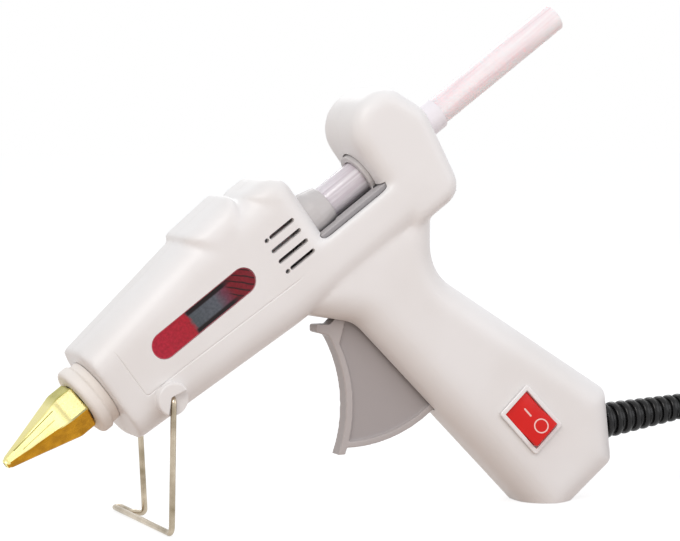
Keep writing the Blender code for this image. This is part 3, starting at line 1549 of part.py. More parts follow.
def make_stand():
    """Bent wire stand: a leg from each boss, a bar across, and a turned-back end on the far side."""
    pin_x, pin_z = standing_xz(STAND_AT, -STAND_DROP)
    bar_x = pin_x - STAND_FOOT_AHEAD
    back_x = bar_x + STAND_RETURN_STEP
    floor = STAND_WIRE
    corners = (
        (pin_x, -STAND_PIN_INNER, pin_z),
        (pin_x, -STAND_LEG_Y, pin_z),
        (bar_x, -STAND_NEAR_FOOT_Y, floor),
        (bar_x, STAND_END_Y, floor),
        (back_x, STAND_END_Y, floor),
        (back_x, STAND_FAR_FOOT_Y, floor),
        (pin_x, STAND_LEG_Y, pin_z),
        (pin_x, STAND_PIN_INNER, pin_z),
    )
    path = bent(corners, STAND_BEND)
    wire = tube("stand", STANDING, path, STAND_WIRE, TUBE_STEPS)
    part(wire, "wire_stand", "stand_wire", (pin_x, 0, pin_z))


# Switch


def make_switch():
    """Rocker switch: a frame outside the wall, a body inside, two terminals and the red rocker."""
    frame_corners = box_corners(BEZEL_LENGTH, BEZEL_WIDTH, BEZEL_CORNER)
    frame_form = plate("bezel", SWITCH, frame_corners, -BEZEL_PROUD, -GAP)
    half_long, half_wide = SWITCH_LENGTH / 2, SWITCH_WIDTH / 2
    low, high = (-half_long, -BEZEL_PROUD / 2, -half_wide), (half_long, SWITCH_DEPTH, half_wide)
    body = block("body", SWITCH, low, high)
    pocket_long = ROCKER_LENGTH / 2 + POCKET_PLAY
    pocket_wide = ROCKER_WIDTH / 2 + GAP
    pocket = block(
        "pocket",
        SWITCH,
        (-pocket_long, -BEZEL_PROUD - OVERRUN, -pocket_wide),
        (pocket_long, ROCKER_POCKET, pocket_wide),
    )
    slots = [terminal_form(side, GAP) for side in (-1, 1)]
    part(cut(join(frame_form, body), pocket, *slots), "switch_body", "switch_frame")
    for index, side in enumerate((-1, 1)):
        part(terminal_form(side, 0), f"switch_terminal_{index + 1}", "terminal_brass")
    make_rocker()


def terminal_form(side, room):
    """Flat terminal in the switch's back, or its slot where room is the clearance round it."""
    middle, thick, wide = side * TERMINAL_STEP, TERMINAL_THICK / 2 + room, TERMINAL_WIDTH / 2 + room
    start = SWITCH_DEPTH - TERMINAL_ROOT
    end = start + GAP + TERMINAL_LENGTH
    return block("terminal", SWITCH, (middle - thick, start + GAP - room, -wide), (middle + thick, end, wide))


def box_corners(length, width, radius):
    half_long, half_wide = length / 2, width / 2
    return (
        (-half_long, -half_wide, radius),
        (half_long, -half_wide, radius),
        (half_long, half_wide, radius),
        (-half_long, half_wide, radius),
    )


def make_rocker():
    """Valley-shaped rocker, at rest with its ON half pressed in."""
    half = ROCKER_LENGTH / 2
    rise = half * math.tan(ROCKER_SWING / 2)
    profile = (
        (-half, -ROCKER_LEVEL - rise),
        (0, -ROCKER_LEVEL),
        (half, -ROCKER_LEVEL - rise),
        (half - ROCKER_TAPER, ROCKER_DEPTH / 2),
        (half / 2, ROCKER_DEPTH),
        (-half / 2, ROCKER_DEPTH),
        (-half + ROCKER_TAPER, ROCKER_DEPTH / 2),
    )
    turn = Matrix.Rotation(-ROCKER_SWING / 2, 2)
    hinge = Vector((0, ROCKER_HINGE))
    turned_profile = [hinge + turn @ (Vector(point) - hinge) for point in profile]
    curve_points = [(point.x, point.y) for point in turned_profile]
    rocker = slab("rocker", SWITCH, curve_points, -ROCKER_WIDTH / 2, ROCKER_WIDTH / 2)
    rocker.rotation_euler = (0, 0, 0)
    rocker.location = (0, 0, 0)
    bpy.context.view_layer.update()
    origin = SWITCH.matrix_world @ Vector((0, ROCKER_HINGE, 0))
    part(rocker, "switch_rocker", "switch_red", origin)


# Cord


def make_relief():
    """Ribbed strain relief, held by a flange inside the handle's wall."""
    seat = -WALL - GAP
    bore = CORD_RADIUS + GAP
    outer = [
        (seat - RELIEF_FLANGE_THICK, RELIEF_FLANGE),
        (seat, RELIEF_FLANGE),
        (seat, RELIEF_NECK),
        (GAP, RELIEF_NECK),
    ]
    pitch = (RELIEF_LENGTH - GAP) / RIB_COUNT
    for index in range(RIB_COUNT):
        start = GAP + index * pitch
        share = index / (RIB_COUNT - 1)
        radius = RELIEF_ROOT + (RELIEF_TIP - RELIEF_ROOT) * share
        outer.append((start, radius))
        outer.append((start + pitch * RIB_SHARE, radius))
        if index < RIB_COUNT - 1:
            outer.append((start + pitch * RIB_SHARE, radius - RIB_DEPTH))
            outer.append((start + pitch, radius - RIB_DEPTH))
    end = outer[-1][0]
    profile = outer[::-1] + [(seat - RELIEF_FLANGE_THICK, bore), (end, bore)]
    part(turned("relief", RELIEF, profile, RELIEF_SIDES, hollow=True), "strain_relief", "relief_rubber")


def relief_end():
    """Distance from the handle's wall to the mouth of the strain relief."""
    pitch = (RELIEF_LENGTH - GAP) / RIB_COUNT
    return GAP + (RIB_COUNT - 1 + RIB_SHARE) * pitch


def make_held_cord():
    """The cord's end inside the handle and the strain relief."""
    ends = (-CORD_INSIDE, 0, 0), (relief_end(), 0, 0)
    part(rod("held", RELIEF, *ends, CORD_RADIUS), "cord_held_end", "cord_rubber")


def coil_points():
    """The wound part of the cord: in to the middle, up, out again above, and up once more outside."""
    lower = round(COIL_TURNS_A_LAYER * COIL_POINTS_A_TURN)
    climb = COIL_POINTS_A_TURN // 2
    outside = 2 * lower + climb
    points = []
    for step in range(outside + climb + 1):
        angle = COIL_START - 2 * math.pi * step / COIL_POINTS_A_TURN
        inward = max(min(step, outside - step, lower), 0)
        radius = COIL_OUTER - COIL_PITCH * inward / COIL_POINTS_A_TURN
        height = CORD_RADIUS + COIL_LIFT
        for first, way in ((lower, -1), (outside, 1)):
            share = min(max((step - first) / climb, 0.0), 1.0)
            height += COIL_PITCH * (1 - math.cos(math.pi * share)) / 2
            radius += way * COIL_TUCK * math.sin(math.pi * share)
        points.append(Vector((COIL_X + radius * math.cos(angle), COIL_Y + radius * math.sin(angle), height)))
    return with_straight_ends(points)


def with_straight_ends(points):
    """The same path with a straight end of one cord diameter at each end."""
    centre = Vector((COIL_X, COIL_Y, 0))
    first, last = points[0] - centre, points[-1] - centre
    back = Vector((-first.y, first.x, 0)).normalized()
    ahead = Vector((last.y, -last.x, 0)).normalized()
    return [points[0] + back * 2 * CORD_RADIUS] + points + [points[-1] + ahead * 2 * CORD_RADIUS]


def make_coil():
    points = coil_points()
    apart = COIL_POINTS_A_TURN // 2
    print("cord_coil least gap mm", round(1000 * least_gap(points, CORD_RADIUS, apart), 3))
    print("cord_coil length mm", round(1000 * path_length(points), 1))
    part(tube("coil", STANDING, points, CORD_RADIUS, FORM_STEPS), "cord_coil", "cord_rubber")
    return points[0], points[-1]


def free_path(start, start_way, route, end, end_way):
    """A cord's free stretch through its route, leaving and meeting its ends straight."""
    lead = 2 * CORD_RADIUS
    first = Vector(start) + Vector(start_way) * GAP
    last = Vector(end) - Vector(end_way) * GAP
    inner = [first + Vector(start_way) * lead, *route, last - Vector(end_way) * lead]
    return [first] + smooth_path(inner, 2 * lead) + [last]


def path_length(points):
    return sum((Vector(b) - Vector(a)).length for a, b in zip(points, points[1:]))


def make_free_cord():
    """The lead from the strain relief to the coil, and the tail from the coil to the plug."""
    coil_start, coil_end = make_coil()
    points = coil_points()
    way_in = (points[1] - points[0]).normalized()
    way_out = (points[-1] - points[-2]).normalized()
    out = Vector((math.cos(RELIEF_TILT), 0, math.sin(RELIEF_TILT)))
    mouth = Vector((RELIEF_X, 0, RELIEF_Z)) + out * relief_end()
    lead = free_path(mouth, out, CORD_ROUTE, coil_start, way_in)
    tail_end = Vector((PLUG_X, PLUG_Y, PLUG_MIDDLE))
    tail = free_path(coil_end, way_out, TAIL_ROUTE, tail_end, Vector((-1, 0, 0)))
    print("cord lead mm", round(1000 * path_length(lead), 1), "tail mm", round(1000 * path_length(tail), 1))
    part(tube("lead", STANDING, lead, CORD_RADIUS, TUBE_STEPS), "cord_lead", "cord_rubber")
    part(tube("tail", STANDING, tail, CORD_RADIUS, TUBE_STEPS), "cord_tail", "cord_rubber")


def make_plug():
    """Flat two-pin plug lying on the coil, its pins pointing to -X."""
    half_wide, half_neck = PLUG_WIDTH / 2, PLUG_NECK / 2
    front = PLUG_X - PLUG_LENGTH
    corners = (
        (front, -half_wide, PLUG_EDGE),
        (front + PLUG_SHOULDER, -half_wide, PLUG_EDGE),
        (PLUG_X, -half_neck, PLUG_EDGE),
        (PLUG_X, half_neck, PLUG_EDGE),
        (front + PLUG_SHOULDER, half_wide, PLUG_EDGE),
        (front, half_wide, PLUG_EDGE),
    )
    half_thick = PLUG_THICK / 2
    body = plate("plug", STANDING, corners, -half_thick, half_thick, PLUG_EDGE)
    body.rotation_euler = (0, 0, 0)
    body.location = (0, PLUG_Y, PLUG_MIDDLE)
    sockets = []
    for side in (-1, 1):
        y = PLUG_Y + side * PLUG_PIN_STEP / 2
        ends = (front - OVERRUN, y, PLUG_MIDDLE), (front + PLUG_PIN_ROOT, y, PLUG_MIDDLE)
        sockets.append(rod("pin_socket", STANDING, *ends, PLUG_PIN_RADIUS + GAP))
    part(cut(body, *sockets), "plug_body", "plug_rubber")
    for index, side in enumerate((-1, 1)):
        y = PLUG_Y + side * PLUG_PIN_STEP / 2
        root, tip = front + PLUG_PIN_ROOT - GAP, front - PLUG_PIN_LENGTH
        pin = rod("plug_pin", STANDING, (root, y, PLUG_MIDDLE), (tip, y, PLUG_MIDDLE), PLUG_PIN_RADIUS)
        part(pin, f"plug_pin_{index + 1}", "plug_pin_nickel")


# Screws and inner wires


def make_screws():
    for index, (axes, x, z) in enumerate(screw_places()):
        head = rod(
            "head",
            axes,
            (x, SCREW_SEAT + GAP, z),
            (x, SCREW_SEAT + GAP + SCREW_HEAD_THICK, z),
            SCREW_HEAD_RADIUS,
        )
        ends = (x, -SCREW_REACH, z), (x, SCREW_SEAT + SCREW_HEAD_THICK, z)
        shaft = rod("shaft", axes, *ends, SCREW_RADIUS, SHAFT_SIDES)
        part(join(head, shaft), f"casing_screw_{index + 1}", "screw_steel")


def make_wires():
    """The three leads inside: cord to heater, cord to switch, and switch to heater."""
    for name, route in LEAD_ROUTES.items():
        points = smooth_path([place_of(stop) for stop in route], LEAD_SPACING)
        part(tube(name, STANDING, points, LEAD_RADIUS, FORM_STEPS), name, "lead_insulation")


def place_of(stop):
    """A stop of a lead's route, behind the heater's end in the barrel's frame where it says so."""
    where, x, y, z = stop
    if where == "heater":
        x, z = standing_xz(HEATER_END + x, z)
    return x, y, z


make_casing()
make_windows()
make_collar()
make_chamber()
make_heater()
make_nozzle()
make_seal()
make_seal_clamp()
make_carriage()
make_sleeve()
make_jaw()
make_jaw_pin()
make_stick()
make_inlet_bush()
make_trigger()
make_trigger_pin()
make_return_spring()
make_stand()
make_switch()
make_relief()
make_held_cord()
make_free_cord()
make_plug()
make_screws()
make_wires()
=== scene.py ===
"""Looks of a hot glue applicator that stands on its butt and its wire stand.

Metres, +Z up, the nozzle toward -X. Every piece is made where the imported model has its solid.
"""

import math

import bmesh
import bpy
from mathutils import Matrix, Vector
from mathutils.bvhtree import BVHTree


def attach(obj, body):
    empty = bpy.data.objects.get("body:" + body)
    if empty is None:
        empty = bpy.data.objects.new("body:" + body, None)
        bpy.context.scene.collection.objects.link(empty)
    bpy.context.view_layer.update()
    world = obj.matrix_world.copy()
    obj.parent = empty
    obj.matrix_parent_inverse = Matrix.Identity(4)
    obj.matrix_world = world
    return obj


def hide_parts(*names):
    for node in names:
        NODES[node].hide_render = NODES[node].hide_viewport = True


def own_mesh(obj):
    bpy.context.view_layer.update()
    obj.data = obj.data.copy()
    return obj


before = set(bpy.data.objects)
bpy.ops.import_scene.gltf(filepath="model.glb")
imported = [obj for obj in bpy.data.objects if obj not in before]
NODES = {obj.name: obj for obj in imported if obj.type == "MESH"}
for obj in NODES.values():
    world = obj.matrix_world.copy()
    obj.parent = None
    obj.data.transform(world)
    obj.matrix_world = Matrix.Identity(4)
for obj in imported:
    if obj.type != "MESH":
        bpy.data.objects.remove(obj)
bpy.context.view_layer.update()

scene = bpy.context.scene
scene.view_settings.view_transform = "Standard"

# Sizes repeated from the part's source
GAP = 0.0003
RUNNING_GAP = 0.0005
OVERRUN = 0.0020
BARREL_TILT = math.radians(36.2)
HOOD_FACE_X, HOOD_FACE_Z = -0.0782, 0.1284
BARREL_LENGTH = 0.1005
HOOD_AT = 0.1295
HOOD_LENGTH = 0.0318
SHOULDER_AT = 0.0540
NOTCH_LEAD = 0.0080
FRONT_TOP, FRONT_BOTTOM = 0.0173, 0.0222
BARREL_TOP, BARREL_BOTTOM = 0.0248, 0.0272
BOTTOM_BEND_AT = 0.0740
NOTCH_DEPTH = 0.0065
HOOD_TOP = 0.0255
HOOD_NOSE_RADIUS = 0.0140
HOOD_SLOPE = 0.0078
HOOD_TAIL_HEIGHT = 0.0075
HOOD_HEEL = 0.0053
HOOD_HEEL_RADIUS = 0.0090
HOOD_TOP_RADIUS = 0.0100
HOOD_TAIL_RADIUS = 0.0085
HOOD_EDGE = 0.0065
WALL = 0.0025
BARREL_HALF, BARREL_EDGE = 0.0170, 0.0110
BAND_EDGE, BAND_INSET = 0.0080, 0.0001
HANDLE_HALF, HANDLE_EDGE = 0.0150, 0.0120
SEAM_OFFSET = 0.0005
FRONT_BAND = (0.0560, 0.0800, 0.0268, 0.0284)
REAR_BAND_START, REAR_BAND_TOP = 0.0835, 0.0252
BAND_FOOT, REAR_BAND_FOOT = 0.0120, 0.0200
BUTT_HALF = 0.0115
BUTT_REAR_LOW, BUTT_REAR_HIGH = (0.0284, 0.0140), (0.0252, 0.0432)
HANDLE_BACK, HANDLE_BACK_TOP = (-0.0515, 0.0918), (-0.0515, 0.1240)
HANDLE_ROOT_TOP, HANDLE_ROOT_FRONT = (-0.1000, 0.1000), (-0.1060, 0.0770)
HANDLE_CHIN = (-0.0828, 0.0730)
HANDLE_BACK_RADIUS = 0.0180
WINDOW_START, WINDOW_END = 0.0260, 0.0636
WINDOW_HEIGHT, WINDOW_RADIUS = 0.0018, 0.00475
WINDOW_RECESS = 0.0004
VENT_START, VENT_END = 0.0795, 0.0920
VENT_TOP, VENT_PITCH = 0.0080, 0.0047
VENT_RADIUS, VENT_DOT = 0.00085, 0.0023
SCREW_HEAD_RADIUS, SCREW_HEAD_THICK = 0.0026, 0.0018
SCREW_RADIUS, SCREW_SEAT, SCREW_REACH = 0.0012, 0.0100, 0.0075
POST_RADIUS, PIN_BOSS_RADIUS = 0.0040, 0.0042
TRIGGER_HALF, TRIGGER_PIN_HALF, TRIGGER_PIN_RADIUS = 0.00325, 0.0125, 0.0020
SEAM = 0.0001
BARREL_SCREWS = ((0.0215, 0.0138), (0.0700, -0.0212), (0.1510, 0.0170), (0.1490, -0.0190))
HANDLE_SCREWS = ((-0.0040, 0.0100), (0.0040, 0.0470), (-0.0600, 0.0930))
COLLAR_RADIUS, COLLAR_LIP, COLLAR_GROOVE = 0.0136, 0.0045, 0.0040
COLLAR_NECK, COLLAR_BACK, COLLAR_FLANGE = 0.0113, 0.0052, 0.0130
COLLAR_BORE = 0.0080
NOZZLE_BACK, NOZZLE_HEX, NOZZLE_HEX_LENGTH = -0.0083, 0.0098, 0.0067
NOZZLE_CONE_LENGTH, NOZZLE_TIP_RADIUS, NOZZLE_BORE = 0.0280, 0.0022, 0.0010
NOZZLE_TURN = math.radians(32.4)
NOZZLE_THREAD_RADIUS = 0.0049
STICK_RADIUS, STICK_START, STICK_REACH = 0.0055, 0.0610, 0.1710
SLEEVE_RADIUS, SLEEVE_START, SLEEVE_LENGTH = 0.0066, 0.1045, 0.0370
INLET_RADIUS, INLET_FLANGE, INLET_AT, INLET_END = 0.0064, 0.0084, 0.1553, 0.1690
CARRIAGE_RADIUS = 0.0093
PIVOT_X, PIVOT_Z = -0.0840, 0.0800
TRIGGER_TOP = (-0.0930, 0.0690)
TRIGGER_HUB = 0.0044
TRIGGER_RIM_RADIUS = 0.0548
TRIGGER_SLOT_HALF = 0.0040
SLOT_DEEP = 0.0085
STAND_AT, STAND_DROP = 0.0165, 0.0152
STAND_BOSS_RADIUS, STAND_BOSS_OUT, STAND_BOSS_FLOOR = 0.0062, 0.0036, 0.0008
STAND_WIRE, STAND_BEND = 0.0011, 0.0016
STAND_PIN_INNER, STAND_LEG_Y = 0.0125, 0.0194
STAND_NEAR_FOOT_Y, STAND_FAR_FOOT_Y, STAND_END_Y = 0.0222, 0.0240, 0.0420
STAND_FOOT_AHEAD, STAND_RETURN_STEP = 0.0020, 0.0060
STAND_FOLD, STAND_LEAN = math.radians(106.0), math.radians(8.0)
SWITCH_X, SWITCH_Z, SWITCH_TILT = -0.0128, 0.0337, math.radians(-46.5)
BEZEL_LENGTH, BEZEL_WIDTH, BEZEL_PROUD, BEZEL_CORNER = 0.0229, 0.0163, 0.0013, 0.0012
SWITCH_LENGTH, SWITCH_WIDTH, SWITCH_DEPTH = 0.0210, 0.0145, 0.0110
ROCKER_LENGTH, ROCKER_WIDTH, ROCKER_SWING = 0.0182, 0.0123, math.radians(20.0)
ROCKER_LEVEL, ROCKER_HINGE, ROCKER_TAPER, ROCKER_DEPTH = 0.0004, 0.0015, 0.0005, 0.0056
POCKET_PLAY, ROCKER_POCKET = 0.0007, 0.0072
RELIEF_X, RELIEF_Z, RELIEF_TILT = 0.0268, 0.0290, math.radians(6.3)
RELIEF_LENGTH, RELIEF_ROOT, RELIEF_TIP = 0.0442, 0.0072, 0.0050
RELIEF_NECK, RELIEF_FLANGE, RELIEF_FLANGE_THICK = 0.0058, 0.0080, 0.0025
RIB_COUNT, RIB_DEPTH, RIB_SHARE = 10, 0.0009, 0.62
CORD_RADIUS = 0.0030
CORD_ROUTE = (
    (0.0790, 0.0015, 0.0335),
    (0.0850, 0.0090, 0.0290),
    (0.0875, 0.0185, 0.0225),
    (0.0890, 0.0270, 0.0155),
    (0.0935, 0.0350, 0.0090),
    (0.1020, 0.0395, 0.0048),
    (0.1140, 0.0402, 0.0033),
)
TAIL_ROUTE = ((0.1718, 0.0036, 0.0172), (0.1641, -0.0096, 0.0186))
COIL_X, COIL_Y, COIL_OUTER = 0.1320, -0.0028, 0.0428
COIL_TUCK, COIL_PITCH, COIL_LIFT = 0.0010, 0.0065, 0.0001
COIL_TURNS_A_LAYER, COIL_POINTS_A_TURN = 2.58333, 48
COIL_START = math.pi / 2
PLUG_X, PLUG_Y, PLUG_THICK = 0.1460, -0.0148, 0.0137
PLUG_MIDDLE = CORD_RADIUS * 2 + COIL_PITCH + COIL_LIFT + GAP + PLUG_THICK / 2
PLUG_LENGTH, PLUG_WIDTH, PLUG_NECK, PLUG_SHOULDER, PLUG_EDGE = 0.0320, 0.0353, 0.0130, 0.0140, 0.0025
PLUG_PIN_RADIUS, PLUG_PIN_LENGTH, PLUG_PIN_STEP, PLUG_PIN_ROOT = 0.0020, 0.0190, 0.0186, 0.0040

FRONT_X = HOOD_FACE_X - HOOD_AT * math.cos(BARREL_TILT)
FRONT_Z = HOOD_FACE_Z - HOOD_AT * math.sin(BARREL_TILT)
RUNOUT, CUT_SPAN = 0.0300, 0.4000
WELD = 0.000001
FINE, COARSE = math.radians(5.0), math.radians(18.0)


def axes(place, tilt):
    """A frame at a place, its X turned up from +X by tilt in the side plane."""
    return Matrix.Translation(place) @ Matrix.Rotation(-tilt, 4, "Y")


STANDING = Matrix.Identity(4)
BARREL = axes((FRONT_X, 0, FRONT_Z), BARREL_TILT)
SWITCH = axes((SWITCH_X, -HANDLE_HALF, SWITCH_Z), SWITCH_TILT)
RELIEF = axes((RELIEF_X, 0, RELIEF_Z), RELIEF_TILT)

# Camera: the photograph's side view from a little in front of the object and above it
CAMERA_AIM = Vector((-0.0865, 0.0, 0.09243))
CAMERA_PLACE = Vector((-0.4517, -0.8202, 0.1552))
camera_data = bpy.data.cameras.new("photo_camera")
camera_data.lens = 126.26
camera_data.sensor_width = 36.0
camera_data.clip_start = 0.05
camera_data.clip_end = 50.0
camera = bpy.data.objects.new("photo_camera", camera_data)
camera.location = CAMERA_PLACE
camera.rotation_euler = (CAMERA_AIM - CAMERA_PLACE).to_track_quat("-Z", "Y").to_euler()
scene.collection.objects.link(camera)
scene.camera = camera


# Materials


def shade(colour):
    """An sRGB hex colour as linear RGBA."""
    values = [int(colour[start : start + 2], 16) / 255 for start in (0, 2, 4)]
    return (*[v / 12.92 if v <= 0.04045 else ((v + 0.055) / 1.055) ** 2.4 for v in values], 1)


def add(tree, kind, inputs=None, stops=None, **settings):
    """Adds a node with its settings, the values or links of its inputs, and the stops of its ramp."""
    made = tree.nodes.new(kind)
    for key, value in settings.items():
        setattr(made, key, value)
    for index, (place, colour) in enumerate(stops or ()):
        ramp = made.color_ramp.elements
        stop = ramp[index] if index < len(ramp) else ramp.new(place)
        stop.position = place
        stop.color = colour
    for key, value in (inputs or {}).items():
        socket = made.inputs[key]
        if isinstance(value, bpy.types.NodeSocket):
            tree.links.new(value, socket)
        else:
            socket.default_value = value
    return made


def new_material(name):
    """A material with an empty Principled shader: returns it, its tree, its shader and its object coordinates."""
    made = bpy.data.materials.new(name)
    made.use_nodes = True
    tree = made.node_tree
    spots = add(tree, "ShaderNodeTexCoord")
    return made, tree, tree.nodes["Principled BSDF"], spots.outputs["Object"]


def grey(value):
    return (value, value, value, 1)


def in_barrel(tree, spots):
    """Object coordinates as (along, across, up) of the barrel."""
    turn = Matrix.Rotation(BARREL_TILT, 3, "Y")
    shift = -(turn @ Vector((FRONT_X, 0, FRONT_Z)))
    made = add(
        tree,
        "ShaderNodeMapping",
        {"Vector": spots, "Location": shift, "Rotation": (0, BARREL_TILT, 0)},
        vector_type="POINT",
    )
    return made.outputs["Vector"]


def moulded(name, colour, darker, roughness, grain, bump, ior=1.50, mirror=0.5):
    """A moulded plastic or rubber: slow drift of tone, fine tool-steel grain in gloss and relief.

    grain is the texture's size in metres, bump its depth in metres, and mirror the strength of its sheen.
    """
    made, tree, shader, spots = new_material(name)
    drift = add(tree, "ShaderNodeTexNoise", {"Vector": spots, "Scale": 22.0, "Detail": 3.0})
    tone = add(
        tree,
        "ShaderNodeValToRGB",
        {"Fac": drift.outputs["Fac"]},
        stops=((0.35, shade(darker)), (0.62, shade(colour))),
    )
    fine = add(tree, "ShaderNodeTexNoise", {"Vector": spots, "Scale": 1 / grain, "Detail": 2.0})
    gloss = add(
        tree,
        "ShaderNodeMapRange",
        {
            "Value": fine.outputs["Fac"],
            "From Min": 0.3,
            "From Max": 0.7,
            "To Min": roughness - 0.04,
            "To Max": roughness + 0.05,
        },
    )
    relief = add(
        tree,
        "ShaderNodeBump",
        {"Height": fine.outputs["Fac"], "Strength": 0.35, "Distance": bump},
    )
    links = tree.links
    links.new(tone.outputs["Color"], shader.inputs["Base Color"])
    links.new(gloss.outputs["Result"], shader.inputs["Roughness"])
    links.new(relief.outputs["Normal"], shader.inputs["Normal"])
    shader.inputs["IOR"].default_value = ior
    shader.inputs["Specular IOR Level"].default_value = mirror
    return made, tree, shader, spots


def metal(name, colour, darker, roughness, spacing, bump, stretch=(1.0, 1.0, 1.0)):
    """A bare or plated metal: tool or drawing marks at a spacing, with faint tarnish between."""
    made, tree, shader, spots = new_material(name)
    marks_at = add(tree, "ShaderNodeMapping", {"Vector": spots, "Scale": stretch})
    marks = add(
        tree,
        "ShaderNodeTexNoise",
        {"Vector": marks_at.outputs["Vector"], "Scale": 1 / spacing, "Detail": 3.0},
    )
    tarnish = add(tree, "ShaderNodeTexNoise", {"Vector": spots, "Scale": 90.0, "Detail": 4.0})
    tone = add(
        tree,
        "ShaderNodeValToRGB",
        {"Fac": tarnish.outputs["Fac"]},
        stops=((0.32, shade(darker)), (0.60, shade(colour))),
    )
    gloss = add(
        tree,
        "ShaderNodeMapRange",
        {
            "Value": marks.outputs["Fac"],
            "From Min": 0.3,
            "From Max": 0.7,
            "To Min": roughness - 0.05,
            "To Max": roughness + 0.08,
        },
    )
    relief = add(
        tree,
        "ShaderNodeBump",
        {"Height": marks.outputs["Fac"], "Strength": 0.3, "Distance": bump},
    )
    tree.links.new(tone.outputs["Color"], shader.inputs["Base Color"])
    tree.links.new(gloss.outputs["Result"], shader.inputs["Roughness"])
    tree.links.new(relief.outputs["Normal"], shader.inputs["Normal"])
    shader.inputs["Metallic"].default_value = 1.0
    return made, tree, shader, spots


# Injection-moulded ABS from a finely blasted tool: a soft satin sheen that blurs the lamps
WHITE_ABS, *_ = moulded("abs_white_moulded_satin", "F0EEED", "EBE8E6", 0.36, 0.0005, 0.00003)

# Moulded silicone rubber: matt, and a little yellow beside the white plastic
SILICONE, *_ = moulded("silicone_white_moulded_matt", "F6F1EC", "F0EAE3", 0.55, 0.0007, 0.00004, ior=1.41)

# Red silicone tube: matt with a slight bloom
RED_SILICONE, *_ = moulded("silicone_red_moulded_matt", "CB5C50", "B94C42", 0.60, 0.0008, 0.00004, ior=1.41)

# Polished nylon bush: waxy, faintly lavender against the white plastic
BUSH_NYLON, *_ = moulded("nylon_natural_moulded", "F0EBEF", "E6E0E6", 0.34, 0.0008, 0.00003, ior=1.53)

# Polycarbonate switch frame: crisp and glossy, so that its bevels catch the light
FRAME_PC, *_ = moulded("polycarbonate_white_moulded_gloss", "F7F5F4", "EFECEB", 0.24, 0.0009, 0.00002, ior=1.58)

# Glossy red polycarbonate of the rocker, as moulded in a polished tool
ROCKER_RED, *_ = moulded("polycarbonate_red_moulded_gloss", "E71F17", "D81712", 0.22, 0.0009, 0.00002, 1.58, 0.22)

# Pad-printed ink of the rocker's marks: flat, pale and slightly pink over the red
MARK_INK, *_ = moulded("pad_print_ink_pale", "FBD9D3", "F3C8C2", 0.45, 0.0005, 0.00001)

# Soft PVC of the strain relief: black with a greasy gloss on its ribs
RELIEF_PVC, *_ = moulded("pvc_black_moulded_gloss", "111112", "0A0A0B", 0.26, 0.0007, 0.00004, 1.53, 0.30)

# Extruded PVC of the cord: black, satin, with faint lengthwise drift of gloss
CORD_PVC, *_ = moulded("pvc_black_extruded_satin", "19191B", "111113", 0.42, 0.0010, 0.00004, 1.53, 0.35)

# Hard PVC of the plug, from a blasted tool
PLUG_PVC, *_ = moulded("pvc_black_moulded_grained", "19191B", "111113", 0.50, 0.0006, 0.00006, 1.53, 0.35)

# Woven glass sleeve on the inner leads: cream and matt
LEAD_SLEEVE, *_ = moulded("glass_fibre_sleeving_cream", "DDD7C6", "CFC8B4", 0.75, 0.0006, 0.00008)

# Pressed steatite heater: chalky white ceramic
HEATER_STEATITE, *_ = moulded("steatite_pressed_white", "DCD8D0", "CFC9BF", 0.75, 0.0005, 0.00005, ior=1.62)

# Cast aluminium chamber: dull grey skin with a pebbled casting surface
CAST_ALUMINIUM, *_ = metal("aluminium_die_cast_dull", "BFC1C3", "A9ABAE", 0.45, 0.0006, 0.00006)

# Drawn spring steel: bright wire
SPRING_STEEL, *_ = metal("spring_steel_drawn_bright", "C4C6CA", "AFB1B6", 0.28, 0.0004, 0.00002)

# Ground steel pins and pressed jaw
GROUND_STEEL, *_ = metal("steel_ground_plain", "B4B6BA", "9C9EA2", 0.30, 0.0003, 0.00002, (1, 8, 1))

# Zinc-plated screws: cool grey with a slight blue bloom
ZINC_STEEL, *_ = metal("steel_zinc_plated", "A3A8AE", "8C9299", 0.34, 0.0004, 0.00002)

# Tinned brass terminals, stamped
TERMINAL_BRASS, *_ = metal("brass_stamped_tinned", "CDB87C", "B9A366", 0.34, 0.0004, 0.00002)

# Nickel-plated brass plug pins, turned
NICKEL_PINS, *_ = metal("brass_nickel_plated", "C9CACC", "B3B4B7", 0.22, 0.0003, 0.00001, (1, 6, 6))

# Nickel-plated drawn wire of the stand: warm, bright and streaked along its length
STAND_STEEL, *_ = metal("steel_wire_nickel_plated", "C9BCA8", "93866F", 0.20, 0.0006, 0.00002, (4, 4, 1))


def carriage_finish():
    """Moulded acetal in pale grey: its trough and floor are painted a darker grey as shade."""
    made, tree, shader, spots = moulded("acetal_grey_moulded", "C9C5C4", "BFBBBA", 0.38, 0.0006, 0.00003, ior=1.48)
    place = add(tree, "ShaderNodeSeparateXYZ", {"Vector": in_barrel(tree, spots)})
    base = shader.inputs["Base Color"].links[0].from_socket
    # Painted shade: the trough and floor below the sleeve are painted a darker grey
    low = add(
        tree,
        "ShaderNodeMapRange",
        {"Value": place.outputs["Z"], "From Min": -0.0052, "From Max": -0.0040, "To Min": 1.0, "To Max": 0.0},
    )
    shade_mixed = add(
        tree,
        "ShaderNodeMix",
        {"Factor": low.outputs["Result"], "A": base, "B": shade("9D9A9C")},
        data_type="RGBA",
    )
    return made, tree, shader, shade_mixed


def facing(tree, normal, angle, low, high):
    """1 where the surface faces out of the barrel's axis at an angle from its top, over toward the near side."""
    way = BARREL.to_3x3() @ Vector((0, -math.sin(angle), math.cos(angle)))
    dot = add(tree, "ShaderNodeVectorMath", {0: normal, 1: way}, operation="DOT_PRODUCT")
    return add(
        tree,
        "ShaderNodeMapRange",
        {"Value": dot.outputs["Value"], "From Min": low, "From Max": high},
    ).outputs["Result"]


